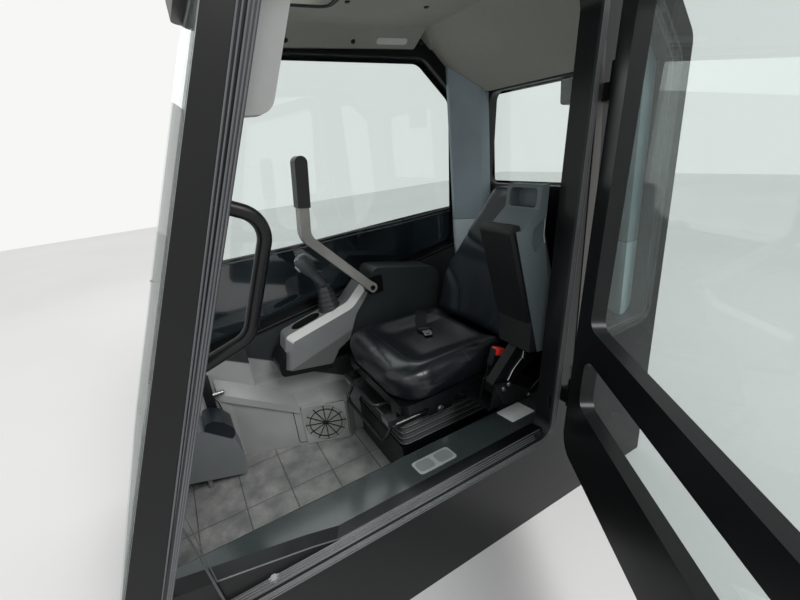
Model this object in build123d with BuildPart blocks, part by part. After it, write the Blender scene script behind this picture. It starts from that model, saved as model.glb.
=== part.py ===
from build123d import *
import os
from math import atan2, cos, radians, sin, tan

os.makedirs("parts", exist_ok=True)

# Operator's cab of a compact track loader, in millimetres.
# +X is the machine's left, where the door is, -Y its front and +Z up. The origin is the
# centre of the four mounting holes, on the underside of the base frame.

# Shell
half_width = 460
post_depth = 55
rail_height = 70
rail_width = 60
floor_thickness = 4
mat_thickness = 6
knee_z = 310
a_foot_y = -662
a_rake = 21.1
a_width = 80
b_foot_y = 369
b_rake = 6.0
b_rear_y = 577
rear_y = 860
rear_wall_depth = 40
rear_shoulder_z = 1345
roof_slope_y = 650
frame_top = 1560
header_z = 1455
sill_top = 303
sill_crease = 15
sill_inner_x = half_width - 185
quarter_low_z = 560
quarter_top_z = 1405
right_low_z = 468
right_top_z = 1484
rear_low_z = 950
rear_top_z = 1311
rear_half_low = half_width - 135
rear_half_top = half_width - 176
glass_thickness = 5
glass_lap = 15
fit_gap = 0.3

# Mounting holes
mount_inset = 100
mount_half_x = half_width - mount_inset
mount_half_y = 520
mount_hole_radius = 8.5
lug_thickness = 16
lug_length = 100

# Roof
roof_height = 78
roof_overhang = 18
lining_z = 1545
cove_z = 1488
cove_width = 75
hatch_half_x = 160
hatch_front_y = -190
hatch_rear_y = 102

# Door, built shut and swung open about a hinge that leans with the rear post
door_gap = 13
door_thickness = 36
door_lap = 18
door_border = 48
door_foot = 162
door_rail_z = 645
door_rail_height = 80
door_open = 60
hinge_setback = 22
hinge_heights = (440, 1240)
hinge_reach = 32
hinge_x = half_width + hinge_reach
pin_radius = 7
knuckle_radius = 13
knuckle_length = 40
pin_clearance = 0.05

# Seat
cushion_half = 240
cushion_top = 510
cushion_depth = 470
cushion_thickness = 105
pan_inset = 25
pan_half = cushion_half - pan_inset
pan_thickness = 34
pan_top = cushion_top - cushion_thickness - 1
pan_low = pan_top - pan_thickness
pan_front_y = 15
pan_depth = cushion_depth - 30
plate_thickness = 12
rail_z = 345
riser_half = 180
riser_front_y = 20
riser_depth = 410
riser_top = 225
recline = 19.0
recline_y = cushion_depth - 18
recline_z = pan_top + 24
back_thickness = 90
back_length = 538
back_shoulder = 215
back_neck = 400
back_half_neck = 140
back_half_high = 62
shell_thickness = 24

# Control pods, each between the seat and a side wall, with their profiles taken from the pivot
pod_wall_gap = 25
pod_seat_gap = 15
left_pod_gap = 22
pod_pivot_y = 286
pod_pivot_z = pan_top + 20
pod_pin_radius = 10
pod_raise = 95.6
pod_rise = 14.9
pod_nose = 474
pod_nose_height = 103
pod_rim = 24
cup_length = 118
cup_width = 62
cup_depth = 52
cup_setback = 93
stick_setback = 196
boot_margin = 20.5
boot_rings = 5
boot_pitch = 18
boot_point_ring = 13.125
rear_lamp_x = 68
rear_lamp_z = 1272
rear_lamp_drop = 58
stick_lean = 32
grip_radius = 13

# Restraint bar, stored upright over the right pod
bar_rise = 230
bar_setback = 133
bar_width = 46
bar_depth = 34
pin_seat_radius = 9

floor_top = rail_height + floor_thickness
mat_top = floor_top + mat_thickness
inner_face = half_width - post_depth
inner_half = inner_face - fit_gap
rear_inner_y = rear_y - rear_wall_depth
right_pod_x = pod_wall_gap - inner_face
pod_width = inner_face - pod_wall_gap - cushion_half - pod_seat_gap
left_pod_x = cushion_half + left_pod_gap
armrest_x = cushion_half + left_pod_gap
bar_pivot_y = pod_pivot_y - bar_setback
bar_pivot_z = pod_pivot_z + bar_rise


def a_edge(z):
    """Where the door opening's raked front edge is at height z."""
    return a_foot_y + (z - knee_z) * tan(radians(a_rake))


def b_edge(z):
    """Where the door opening's leaning rear edge is at height z."""
    return b_foot_y + (z - knee_z) * tan(radians(b_rake))


def nose(z):
    """Where the raked front of the shell is at height z."""
    return a_edge(z) - a_width


def side(x):
    """The plane of a side view at x, with Y across and Z up."""
    return Plane.YZ.offset(x)


def outline(points, radii, mode=Mode.ADD):
    """A closed outline with rounded corners, as a face of the sketch it is called in."""
    with BuildLine() as edge:
        FilletPolyline(*points, radius=radii, close=True)
    make_face(edge.edges(), mode=mode)


def turned(plane, axis, angle):
    """The plane after a turn about an axis in space."""
    spin = Axis((0, 0, 0), axis.direction)
    origin = axis.position + (plane.origin - axis.position).rotate(spin, angle)
    return Plane(origin, plane.x_dir.rotate(spin, angle), plane.z_dir.rotate(spin, angle))


front_y = nose(knee_z)

side_outline = (
    (front_y, floor_top),
    (front_y, knee_z),
    (nose(frame_top), frame_top),
    (roof_slope_y, frame_top),
    (rear_y, rear_shoulder_z),
    (rear_y, floor_top),
)
side_radii = (4, 60, 4, 40, 60, 4)
door_opening = (
    (a_edge(sill_top), sill_top),
    (a_edge(header_z), header_z),
    (b_edge(header_z), header_z),
    (b_edge(sill_top), sill_top),
)
door_opening_radii = (30, 70, 60, 45)
quarter_front_y = b_rear_y + 18
quarter_rear_y = rear_y - 58
quarter_opening = (
    (quarter_front_y, quarter_low_z),
    (quarter_front_y, quarter_top_z),
    (quarter_rear_y - 112, quarter_top_z),
    (quarter_rear_y, quarter_top_z - 115),
    (quarter_rear_y, quarter_low_z),
)
quarter_radii = (40, 40, 50, 50, 40)
right_rear_y = rear_y - 145
right_opening = (
    (a_edge(right_low_z), right_low_z),
    (a_edge(right_top_z), right_top_z),
    (right_rear_y - 125, right_top_z - 22),
    (right_rear_y + 33, right_top_z - 179),
    (right_rear_y, right_low_z + 222),
)
right_radii = (60, 70, 80, 80, 70)
right_low_slope = 222 / (right_rear_y - a_edge(right_low_z))
door_axis = Axis(
    (hinge_x, b_edge(knee_z) + door_lap + hinge_setback, knee_z),
    (0, sin(radians(b_rake)), cos(radians(b_rake))),
)


# Base frame: a ring of box rails with two cross rails and a holed lug at each corner
with BuildPart() as base_frame:
    with BuildSketch():
        with Locations((0, (front_y + rear_y) / 2)):
            Rectangle(2 * half_width, rear_y - front_y)
            Rectangle(2 * (half_width - rail_width), rear_y - front_y - 2 * rail_width, mode=Mode.SUBTRACT)
        with Locations((0, riser_front_y + 40), (0, riser_front_y + riser_depth - 40)):
            Rectangle(2 * (half_width - rail_width), rail_width)
    extrude(amount=rail_height)
    with BuildSketch():
        for lug_x in (-mount_half_x, mount_half_x):
            for lug_y in (-mount_half_y, mount_half_y):
                with Locations((lug_x, lug_y)):
                    Rectangle(2 * (half_width - rail_width - mount_half_x) + 4, lug_length)
    extrude(amount=lug_thickness)
    with Locations((0, 0, lug_thickness)):
        with GridLocations(2 * mount_half_x, 2 * mount_half_y, 2, 2):
            Hole(mount_hole_radius, depth=lug_thickness)
base_frame.part.label = "base_frame"
export_step(base_frame.part, "parts/base_frame.step")

# Floor pan: the steel plate on the rails
with BuildPart() as floor_pan:
    with BuildSketch(Plane.XY.offset(rail_height)):
        with Locations((0, (front_y + rear_y) / 2)):
            Rectangle(2 * half_width, rear_y - front_y)
    extrude(amount=floor_thickness)
floor_pan.part.label = "floor_pan"
export_step(floor_pan.part, "parts/floor_pan.step")

# Left side frame: front, middle and rear posts, header and outer sill in one pressed ring
crease_z = sill_top + sill_crease
with BuildPart() as side_frame_left:
    with BuildSketch(side(inner_face)):
        outline(side_outline, side_radii)
        outline(door_opening, door_opening_radii, Mode.SUBTRACT)
        outline(quarter_opening, quarter_radii, Mode.SUBTRACT)
    extrude(amount=post_depth)
    with BuildSketch(Plane.XZ.offset(-b_edge(sill_top))):
        with BuildLine():
            Polyline(
                (inner_face, sill_top - 10),
                (half_width, sill_top - 10),
                (half_width, sill_top),
                (half_width - 18, crease_z),
                (inner_face, crease_z - 5),
                close=True,
            )
        make_face()
    extrude(amount=b_edge(sill_top) - a_edge(sill_top))
    with BuildSketch(side(inner_face)):
        with BuildLine():
            Polyline(
                (a_edge(sill_top) - 20, sill_top),
                (a_edge(sill_top + 92), sill_top + 92),
                (a_edge(sill_top) + 305, sill_top + 32),
                (a_edge(sill_top) + 415, sill_top),
                close=True,
            )
        make_face()
    extrude(amount=post_depth - 15)
side_frame_left.part.label = "side_frame_left"
export_step(side_frame_left.part, "parts/side_frame_left.step")

# Right side frame: the same ring with one large window
with BuildPart() as side_frame_right:
    with BuildSketch(side(-half_width)):
        outline(side_outline, side_radii)
        outline(right_opening, right_radii, Mode.SUBTRACT)
    extrude(amount=post_depth)
side_frame_right.part.label = "side_frame_right"
export_step(side_frame_right.part, "parts/side_frame_right.step")

# Sill: the wide step inside the door
with BuildPart() as sill_step:
    with BuildSketch(Plane.XZ.offset(-rear_inner_y + fit_gap)):
        with BuildLine():
            FilletPolyline(
                (sill_inner_x, floor_top),
                (inner_half, floor_top),
                (inner_half, crease_z - 6),
                (sill_inner_x, sill_top - 7),
                radius=(0, 0, 0, 12),
                close=True,
            )
        make_face()
    extrude(amount=rear_inner_y - front_y - 22)
sill_step.part.label = "sill_step"
export_step(sill_step.part, "parts/sill_step.step")

# Lower front wall and the header above the windscreen
wall_sheet = 20
with BuildPart() as front_wall:
    with BuildSketch(side(-inner_half)):
        with BuildLine():
            Polyline(
                (front_y, floor_top),
                (front_y + wall_sheet, floor_top),
                (front_y + wall_sheet, knee_z),
                (nose(knee_z + 30) + wall_sheet, knee_z + 30),
                (nose(knee_z + 30), knee_z + 30),
                (front_y, knee_z),
                close=True,
            )
        make_face()
    extrude(amount=2 * inner_half)
front_wall.part.label = "front_wall"
export_step(front_wall.part, "parts/front_wall.step")

header_low = header_z + 15
with BuildPart() as front_header:
    with BuildSketch(side(-inner_half)):
        with BuildLine():
            Polyline(
                (nose(header_low), header_low),
                (nose(header_low) + 60, header_low),
                (nose(frame_top) + 60, frame_top),
                (nose(frame_top), frame_top),
                close=True,
            )
        make_face()
    extrude(amount=2 * inner_half)
front_header.part.label = "front_header"
export_step(front_header.part, "parts/front_header.step")

# Rear wall with its sloping upper panel and the window opening
rear_opening = (
    (-rear_half_low, rear_low_z),
    (rear_half_low, rear_low_z),
    (rear_half_top, rear_top_z),
    (-rear_half_top, rear_top_z),
)
with BuildPart() as rear_wall:
    with BuildSketch(side(-inner_half)):
        with BuildLine():
            Polyline(
                (rear_inner_y, floor_top),
                (rear_y, floor_top),
                (rear_y, rear_shoulder_z),
                (roof_slope_y, frame_top),
                (roof_slope_y - 50, frame_top),
                (rear_inner_y, rear_shoulder_z - 10),
                close=True,
            )
        make_face()
    extrude(amount=2 * inner_half)
    with BuildSketch(Plane.XZ.offset(-rear_y)):
        outline(rear_opening, 40)
    extrude(amount=rear_wall_depth + 10, mode=Mode.SUBTRACT)
rear_wall.part.label = "rear_wall"
export_step(rear_wall.part, "parts/rear_wall.step")

# Glazing, bonded to the outside of its frame
with BuildPart() as right_glass:
    with BuildSketch(side(-half_width - glass_thickness)):
        outline(right_opening, right_radii)
        offset(amount=glass_lap, mode=Mode.REPLACE)
    extrude(amount=glass_thickness)
right_glass.part.label = "right_glass"
export_step(right_glass.part, "parts/right_glass.step")

with BuildPart() as quarter_glass:
    with BuildSketch(side(half_width)):
        outline(quarter_opening, quarter_radii)
        offset(amount=glass_lap, mode=Mode.REPLACE)
    extrude(amount=glass_thickness)
quarter_glass.part.label = "quarter_glass"
export_step(quarter_glass.part, "parts/quarter_glass.step")

with BuildPart() as rear_glass:
    with BuildSketch(Plane.XZ.offset(-rear_y - glass_thickness)):
        outline(rear_opening, 40)
        offset(amount=glass_lap, mode=Mode.REPLACE)
    extrude(amount=glass_thickness)
rear_glass.part.label = "rear_glass"
export_step(rear_glass.part, "parts/rear_glass.step")

with BuildPart() as windscreen:
    with BuildSketch(side(-inner_face - 35)):
        with BuildLine():
            Polyline(
                (nose(knee_z + 32), knee_z + 32),
                (nose(header_low + 20), header_low + 20),
                (nose(header_low + 20) - glass_thickness, header_low + 20),
                (nose(knee_z + 32) - glass_thickness, knee_z + 32),
                close=True,
            )
        make_face()
    extrude(amount=2 * (inner_face + 35))
windscreen.part.label = "windscreen"
export_step(windscreen.part, "parts/windscreen.step")

# Roof cap with the opening of the roof window, and the window on it
roof_front_y = nose(frame_top) - 35
roof_rear_y = roof_slope_y + 25
with BuildPart() as roof_cap:
    with BuildSketch(Plane.XY.offset(frame_top)):
        with Locations((0, (roof_front_y + roof_rear_y) / 2)):
            RectangleRounded(2 * (half_width + roof_overhang), roof_rear_y - roof_front_y, 60)
    extrude(amount=roof_height)
    chamfer(roof_cap.faces().sort_by(Axis.Z)[-1].edges(), length=30, length2=45)
    with BuildSketch(Plane.XY.offset(frame_top)):
        with Locations((0, (hatch_front_y + hatch_rear_y) / 2)):
            RectangleRounded(2 * hatch_half_x, hatch_rear_y - hatch_front_y, 25)
    extrude(amount=roof_height, mode=Mode.SUBTRACT)
roof_cap.part.label = "roof_cap"
export_step(roof_cap.part, "parts/roof_cap.step")

with BuildPart() as roof_glass:
    with BuildSketch(Plane.XY.offset(frame_top + roof_height)):
        with Locations((0, (hatch_front_y + hatch_rear_y) / 2)):
            RectangleRounded(2 * (hatch_half_x + glass_lap), hatch_rear_y - hatch_front_y + 2 * glass_lap, 30)
    extrude(amount=glass_thickness)
roof_glass.part.label = "roof_glass"
export_step(roof_glass.part, "parts/roof_glass.step")

# Roof lining with a cove along each side and a slope down to the rear window
lining_top = frame_top - fit_gap
lining_rear_z = rear_top_z + 7
with BuildPart() as roof_lining:
    with BuildSketch(Plane.XZ.offset(-rear_inner_y)):
        with BuildLine():
            FilletPolyline(
                (-inner_half, lining_top),
                (-inner_half, cove_z),
                (-inner_half + 14, cove_z),
                (-inner_half + cove_width, lining_z),
                (inner_half - cove_width, lining_z),
                (inner_half - 14, cove_z),
                (inner_half, cove_z),
                (inner_half, lining_top),
                radius=(0, 0, 6, 40, 40, 6, 0, 0),
                close=True,
            )
        make_face()
    extrude(amount=rear_inner_y - nose(frame_top) - 62)
    with BuildSketch(side(-half_width)):
        with BuildLine():
            Polyline(
                (nose(frame_top), frame_top),
                (roof_slope_y - 50.5, frame_top),
                (rear_inner_y - 0.5, rear_shoulder_z - 10),
                (rear_inner_y - 0.5, lining_rear_z),
                (rear_inner_y - 28, lining_rear_z),
                (rear_inner_y - 260, lining_z),
                (rear_inner_y - 320, cove_z - 88),
                (nose(frame_top), cove_z - 88),
                close=True,
            )
        make_face()
    extrude(amount=2 * half_width, mode=Mode.INTERSECT)
    with BuildSketch(side(-inner_half)):
        with BuildLine():
            Polyline(
                (roof_slope_y - 60, lining_top - 1),
                (roof_slope_y - 51, lining_top - 1),
                (rear_inner_y - 0.5, rear_shoulder_z - 11),
                (rear_inner_y - 0.5, lining_rear_z),
                (rear_inner_y - 20, lining_rear_z),
                (roof_slope_y - 80, lining_z),
                close=True,
            )
        make_face()
    extrude(amount=2 * inner_half)
    with BuildSketch(Plane.XY.offset(lining_z - 60)):
        with Locations((0, (hatch_front_y + hatch_rear_y) / 2)):
            RectangleRounded(2 * hatch_half_x, hatch_rear_y - hatch_front_y, 25)
    extrude(amount=100, mode=Mode.SUBTRACT)
roof_lining.part.label = "roof_lining"
export_step(roof_lining.part, "parts/roof_lining.step")

# Rear corner trims, mirrored pair
for name, hand, trim_start_y, trim_end_x in (
    ("corner_trim_right", -1, right_rear_y - 25, rear_half_top + 12),
    ("corner_trim_left", 1, right_rear_y + 37, rear_half_low + 1),
):
    with BuildPart() as trim:
        with BuildSketch(Plane.XY.offset(quarter_low_z)):
            with BuildLine():
                Polyline(
                    (hand * inner_half, trim_start_y),
                    (hand * (inner_half - 16), trim_start_y),
                    (hand * (trim_end_x + 4), rear_inner_y - 40),
                    (hand * (trim_end_x - 4), rear_inner_y - 0.5),
                    (hand * inner_half, rear_inner_y - 0.5),
                    close=True,
                )
            make_face()
        extrude(amount=frame_top - quarter_low_z)
        with BuildSketch(side(-half_width)):
            with BuildLine():
                Polyline(
                    (right_rear_y - 115, quarter_low_z),
                    (rear_inner_y, quarter_low_z),
                    (rear_inner_y, lining_rear_z - 1),
                    (rear_inner_y - 20, lining_rear_z - 1),
                    (roof_slope_y - 81, lining_z - 1),
                    (right_rear_y - 115, cove_z - 1),
                    close=True,
                )
            make_face()
        extrude(amount=2 * half_width, mode=Mode.INTERSECT)
    trim.part.label = name
    export_step(trim.part, "parts/" + name + ".step")

# Right side trim: kick panel with its twisted ledge, the wall in front of the pod and the band under the window
kick_wall_x = 70 - inner_face
kick_end_x = -riser_half - 11
kick_end_y = riser_front_y + 100
kick_front_y = front_y + wall_sheet + 2
pod_reach_y = -328
kick_foot = ((kick_wall_x, kick_front_y), (kick_wall_x + 20, -423), (-256, -275), (-163, -38), (kick_end_x, -5))
kick_top = ((nose(450) + 24, 450), (-461, 371), (-204, 257), (-97, 257), (kick_end_y, 215))


def under_window(y):
    """Just under the lower edge of the right window at y."""
    return right_low_z + (y - a_edge(right_low_z)) * right_low_slope - 6


with BuildPart() as side_trim:
    with BuildSketch(Plane.XY.offset(floor_top)):
        with BuildLine():
            Polyline(
                (-inner_half, kick_front_y),
                *kick_foot,
                (kick_end_x, kick_end_y),
                (-inner_half, kick_end_y),
                close=True,
            )
        make_face()
    extrude(amount=500)
    with BuildSketch(side(-half_width)):
        with BuildLine():
            Polyline((kick_front_y, floor_top), (kick_front_y, knee_z - 4), *kick_top,
                     (kick_end_y, floor_top), close=True)
        make_face()
    extrude(amount=half_width, mode=Mode.INTERSECT)
    for ledge_y, ledge_x, ledge_z, ledge_rise in ((-461, kick_wall_x + 20, 371, 65), (-204, -222, 257, 5)):
        with BuildSketch(Plane.XZ.offset(-ledge_y)):
            with BuildLine():
                Polyline(
                    (ledge_x, ledge_z),
                    (kick_wall_x - 5, ledge_z + ledge_rise),
                    (kick_wall_x - 5, ledge_z - 30),
                    (ledge_x, ledge_z - 30),
                    close=True,
                )
            make_face()
    loft(ruled=True)
    for wall_x, ridge_z, wall_z in ((kick_wall_x, 505, 466), (-inner_half, under_window(-406), under_window(pod_reach_y))):
        with BuildSketch(side(wall_x)):
            with BuildLine():
                Polyline(
                    (kick_front_y + 60, floor_top),
                    (pod_reach_y, floor_top),
                    (pod_reach_y, wall_z),
                    (-406, ridge_z),
                    (a_edge(right_low_z) - 4, under_window(a_edge(right_low_z))),
                    (kick_front_y + 60, 380),
                    close=True,
                )
            make_face()
    loft(ruled=True)
    with BuildSketch(side(-inner_half)):
        with BuildLine():
            Polyline((pod_reach_y, floor_top), (kick_end_y, floor_top), (kick_end_y, 345), (pod_reach_y, 345), close=True)
        make_face()
    extrude(amount=kick_wall_x + inner_half)
    with BuildSketch(side(-inner_half)):
        with BuildLine():
            Polyline(
                (pod_reach_y - 60, under_window(pod_reach_y - 60) - 2),
                (rear_inner_y - 140, under_window(rear_inner_y - 140) - 2),
                (rear_inner_y - 140, 240),
                (pod_reach_y - 60, 240),
                close=True,
            )
        make_face()
    extrude(amount=12)
side_trim.part.label = "side_trim"
export_step(side_trim.part, "parts/side_trim.step")

# Floor mat between the sill, the kick panel and the seat riser
with BuildPart() as floor_mat:
    with BuildSketch(Plane.XY.offset(floor_top)):
        with BuildLine():
            Polyline(
                (sill_inner_x - 1, kick_front_y),
                (sill_inner_x - 1, riser_front_y - 1),
                (-riser_half - 5, riser_front_y - 1),
                (-riser_half - 5, -9),
                *[(x + 1.5, y) for x, y in reversed(kick_foot[:-1])],
                close=True,
            )
        make_face()
    extrude(amount=mat_thickness)
floor_mat.part.label = "floor_mat"
export_step(floor_mat.part, "parts/floor_mat.step")

# Seat riser, suspension bellows and slide rails
with BuildPart() as seat_riser:
    with BuildSketch(Plane.XY.offset(floor_top)):
        with Locations((0, riser_front_y + riser_depth / 2)):
            RectangleRounded(2 * riser_half, riser_depth, 12)
    extrude(amount=riser_top - floor_top)
seat_riser.part.label = "seat_riser"
export_step(seat_riser.part, "parts/seat_riser.step")

bellows_ridges = 4
bellows_top = rail_z - 33
ridge_height = (bellows_top - riser_top) / bellows_ridges
with BuildPart() as seat_bellows:
    for ridge in range(bellows_ridges):
        with BuildSketch(Plane.XY.offset(riser_top + ridge * ridge_height)):
            with Locations((0, riser_front_y + riser_depth / 2)):
                RectangleRounded(2 * riser_half - 20, riser_depth - 20, 20)
        extrude(amount=ridge_height / 2, taper=-35)
        with BuildSketch(Plane.XY.offset(riser_top + (ridge + 1) * ridge_height)):
            with Locations((0, riser_front_y + riser_depth / 2)):
                RectangleRounded(2 * riser_half - 20, riser_depth - 20, 20)
        extrude(amount=-ridge_height / 2, taper=-35)
seat_bellows.part.label = "seat_bellows"
export_step(seat_bellows.part, "parts/seat_bellows.step")

slide_x = 150
with BuildPart() as slide_rails:
    with BuildSketch(Plane.XY.offset(bellows_top)):
        with Locations((0, riser_front_y + riser_depth / 2)):
            RectangleRounded(2 * riser_half - 10, riser_depth + 40, 16)
    extrude(amount=13)
    with BuildSketch(Plane.XY.offset(bellows_top + 13)):
        with Locations((-slide_x, riser_front_y + riser_depth / 2 - 10), (slide_x, riser_front_y + riser_depth / 2 - 10)):
            Rectangle(44, riser_depth + 60)
    extrude(amount=rail_z - bellows_top - 13)
slide_rails.part.label = "slide_rails"
export_step(slide_rails.part, "parts/slide_rails.step")

# Bar at the foot of the suspension, hung from the slide plate
lever_radius = 6
lever_left_x = 100
with BuildPart() as suspension_bar:
    with BuildLine():
        bar_path = FilletPolyline(
            (-165, riser_front_y - 12, bellows_top - fit_gap),
            (-165, riser_front_y - 50, bellows_top - 59),
            (145, riser_front_y - 50, bellows_top - 59),
            (145, riser_front_y - 12, bellows_top - fit_gap),
            radius=24,
        )
    with BuildSketch(Plane(origin=bar_path @ 0, z_dir=bar_path % 0)):
        Circle(lever_radius)
    sweep()
    with BuildSketch(Plane.XY.offset(bellows_top - fit_gap)):
        with Locations((0, riser_front_y)):
            Rectangle(600, 200)
    extrude(amount=40, mode=Mode.SUBTRACT)
suspension_bar.part.label = "suspension_bar"
export_step(suspension_bar.part, "parts/suspension_bar.step")

# Seat pan with its runners and the brackets that carry the pods
arm_x = left_pod_x + 34
arm_width = 33
bracket_gap = 5
bracket_sheet = 8
with BuildPart() as seat_pan:
    with BuildSketch(Plane.XY.offset(pan_low)):
        with Locations((0, pan_front_y + pan_depth / 2)):
            RectangleRounded(2 * pan_half, pan_depth, 30)
    extrude(amount=pan_thickness)
    with BuildSketch(Plane.XY.offset(rail_z + fit_gap)):
        with Locations((-slide_x, pan_front_y + pan_depth / 2 - 20), (slide_x, pan_front_y + pan_depth / 2 - 20)):
            Rectangle(30, pan_depth - 40)
    extrude(amount=pan_low - rail_z - fit_gap)
    with BuildSketch(Plane.XY.offset(pan_low)):
        with BuildLine():
            bracket_end = arm_x + arm_width + bracket_gap + bracket_sheet
            Polyline(
                (pan_half - 30, pod_pivot_y - 45),
                (bracket_end, pod_pivot_y - 45),
                (bracket_end, pod_pivot_y + 45),
                (pan_half - 30, pod_pivot_y + 45),
                close=True,
            )
        make_face()
        with BuildLine() as right_plate:
            Polyline(
                (-armrest_x + fit_gap, 200),
                (10 - pan_half, 200),
                (10 - pan_half, 400),
                (-armrest_x + fit_gap, 400),
                close=True,
            )
        make_face(right_plate.edges())
    extrude(amount=plate_thickness)
    for bracket_x in (arm_x - bracket_gap - bracket_sheet, arm_x + arm_width + bracket_gap):
        with BuildSketch(side(bracket_x)):
            with BuildLine():
                Polyline(
                    (pod_pivot_y - 36, pan_low),
                    (pod_pivot_y + 36, pan_low),
                    (pod_pivot_y + 14, pod_pivot_z + 24),
                    (pod_pivot_y - 14, pod_pivot_z + 24),
                    close=True,
                )
            make_face()
        extrude(amount=bracket_sheet)
    with BuildSketch(side(arm_x - bracket_gap - bracket_sheet)):
        with Locations((pod_pivot_y, pod_pivot_z)):
            Circle(pod_pin_radius)
    extrude(amount=arm_width + 2 * bracket_gap + 2 * bracket_sheet)
    for ear_x in (-pan_half, pan_half - 10):
        with BuildSketch(side(ear_x)):
            with BuildLine():
                Polyline(
                    (recline_y - 57, pan_low),
                    (recline_y + 2, pan_low),
                    (recline_y + 24, recline_z + 17),
                    (recline_y - 12, recline_z + 27),
                    (recline_y - 32, pan_top),
                    close=True,
                )
            make_face()
        extrude(amount=10)
seat_pan.part.label = "seat_pan"
export_step(seat_pan.part, "parts/seat_pan.step")

# Lever that frees the seat slide, under the front edge of the cushion
with BuildPart() as slide_lever:
    with BuildLine():
        lever_path = FilletPolyline(
            (-slide_x, pan_front_y - 4, pan_low - 10),
            (-slide_x, pan_front_y - 45, pan_low),
            (lever_left_x, pan_front_y - 45, pan_low),
            (lever_left_x, pan_front_y + 24, pan_low - 10),
            radius=16,
        )
    with BuildSketch(Plane(origin=lever_path @ 0, z_dir=lever_path % 0)):
        Circle(lever_radius)
    sweep()
    with BuildSketch(Plane.XY.offset(pan_low - 18)):
        with Locations((-slide_x, pan_front_y - 6 - fit_gap)):
            Rectangle(16, 12)
        with Locations((lever_left_x, pan_front_y + 26)):
            Rectangle(16, 20)
    extrude(amount=18 - fit_gap)
slide_lever.part.label = "slide_lever"
export_step(slide_lever.part, "parts/slide_lever.step")

with BuildPart() as seat_cushion:
    with BuildSketch(Plane.XY.offset(pan_top + fit_gap)):
        with BuildLine():
            FilletPolyline(
                (-cushion_half, 0),
                (cushion_half, 0),
                (cushion_half - 40, cushion_depth - 28),
                (-cushion_half + 40, cushion_depth - 28),
                radius=(110, 110, 40, 40),
                close=True,
            )
        make_face()
    extrude(amount=cushion_thickness)
    fillet(seat_cushion.faces().sort_by(Axis.Z)[-1].edges(), radius=32)
seat_cushion.part.label = "seat_cushion"
export_step(seat_cushion.part, "parts/seat_cushion.step")

# Backrest: planes lie along its reclined front face
back_base = Plane(
    origin=(0, recline_y + 6, cushion_top - 40),
    x_dir=(1, 0, 0),
    z_dir=(0, -cos(radians(recline)), sin(radians(recline))),
)
back_outline = (
    (-cushion_half, 0),
    (cushion_half, 0),
    (cushion_half, back_shoulder),
    (back_half_neck, back_neck),
    (back_half_high, back_length),
    (-back_half_high, back_length),
    (-back_half_neck, back_neck),
    (-cushion_half, back_shoulder),
)
back_radii = (30, 30, 80, 60, 30, 30, 60, 80)
with BuildPart() as back_cushion:
    with BuildSketch(back_base.offset(-back_thickness)):
        outline(back_outline, back_radii)
    extrude(amount=back_thickness)
    fillet(back_cushion.faces().sort_by(Axis.Y)[0].edges(), radius=28)
back_cushion.part.label = "back_cushion"
export_step(back_cushion.part, "parts/back_cushion.step")

with BuildPart() as back_shell:
    with BuildSketch(back_base.offset(-back_thickness - fit_gap)):
        outline(back_outline, back_radii)
        offset(amount=-6, mode=Mode.REPLACE)
    extrude(amount=-shell_thickness)
    for ear_x in (-pan_half + 10 + fit_gap, pan_half - 20 - fit_gap):
        with BuildSketch(side(ear_x)):
            with BuildLine():
                Polyline(
                    *[(recline_y + y, recline_z + z) for y, z in ((-14, -20), (18, -22), (108, -8), (173, 132),
                                                                  (146, 132), (104, 10), (94, 8), (18, 12), (-14, 12))],
                    close=True,
                )
            make_face()
        extrude(amount=10)
back_shell.part.label = "back_shell"
export_step(back_shell.part, "parts/back_shell.step")

# Seat belt: buckle on its stalk at the left, reel at the right, and the lumbar knob
plate_top = pan_low + plate_thickness
with BuildPart() as belt_buckle:
    with BuildSketch(side(cushion_half + 6)):
        with BuildLine():
            Polyline((296, plate_top), (320, plate_top), (350, plate_top + 88), (330, plate_top + 96), close=True)
        make_face()
    extrude(amount=6)
    with BuildSketch(side(cushion_half + 3)):
        outline([(y, cushion_top + z) for y, z in ((320, -52), (360, -70), (386, -8), (344, 10))], 9)
    extrude(amount=24)
belt_buckle.part.label = "belt_buckle"
export_step(belt_buckle.part, "parts/belt_buckle.step")

with BuildPart() as lumbar_knob:
    with BuildSketch(side(pan_half)):
        with Locations((recline_y - 20, recline_z + 2)):
            Circle(8)
    extrude(amount=9)
    with BuildSketch(side(pan_half + 8)):
        with Locations((recline_y - 20, recline_z + 2)):
            Circle(24)
    extrude(amount=14)
lumbar_knob.part.label = "lumbar_knob"
export_step(lumbar_knob.part, "parts/lumbar_knob.step")

with BuildPart() as belt_reel:
    with BuildSketch(side(-pan_half - 24)):
        outline([(recline_y + y, pan_low + z) for y, z in ((-52, 5), (0, 5), (0, 70), (-52, 70))], 10)
    extrude(amount=24)
belt_reel.part.label = "belt_reel"
export_step(belt_reel.part, "parts/belt_reel.step")

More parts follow.
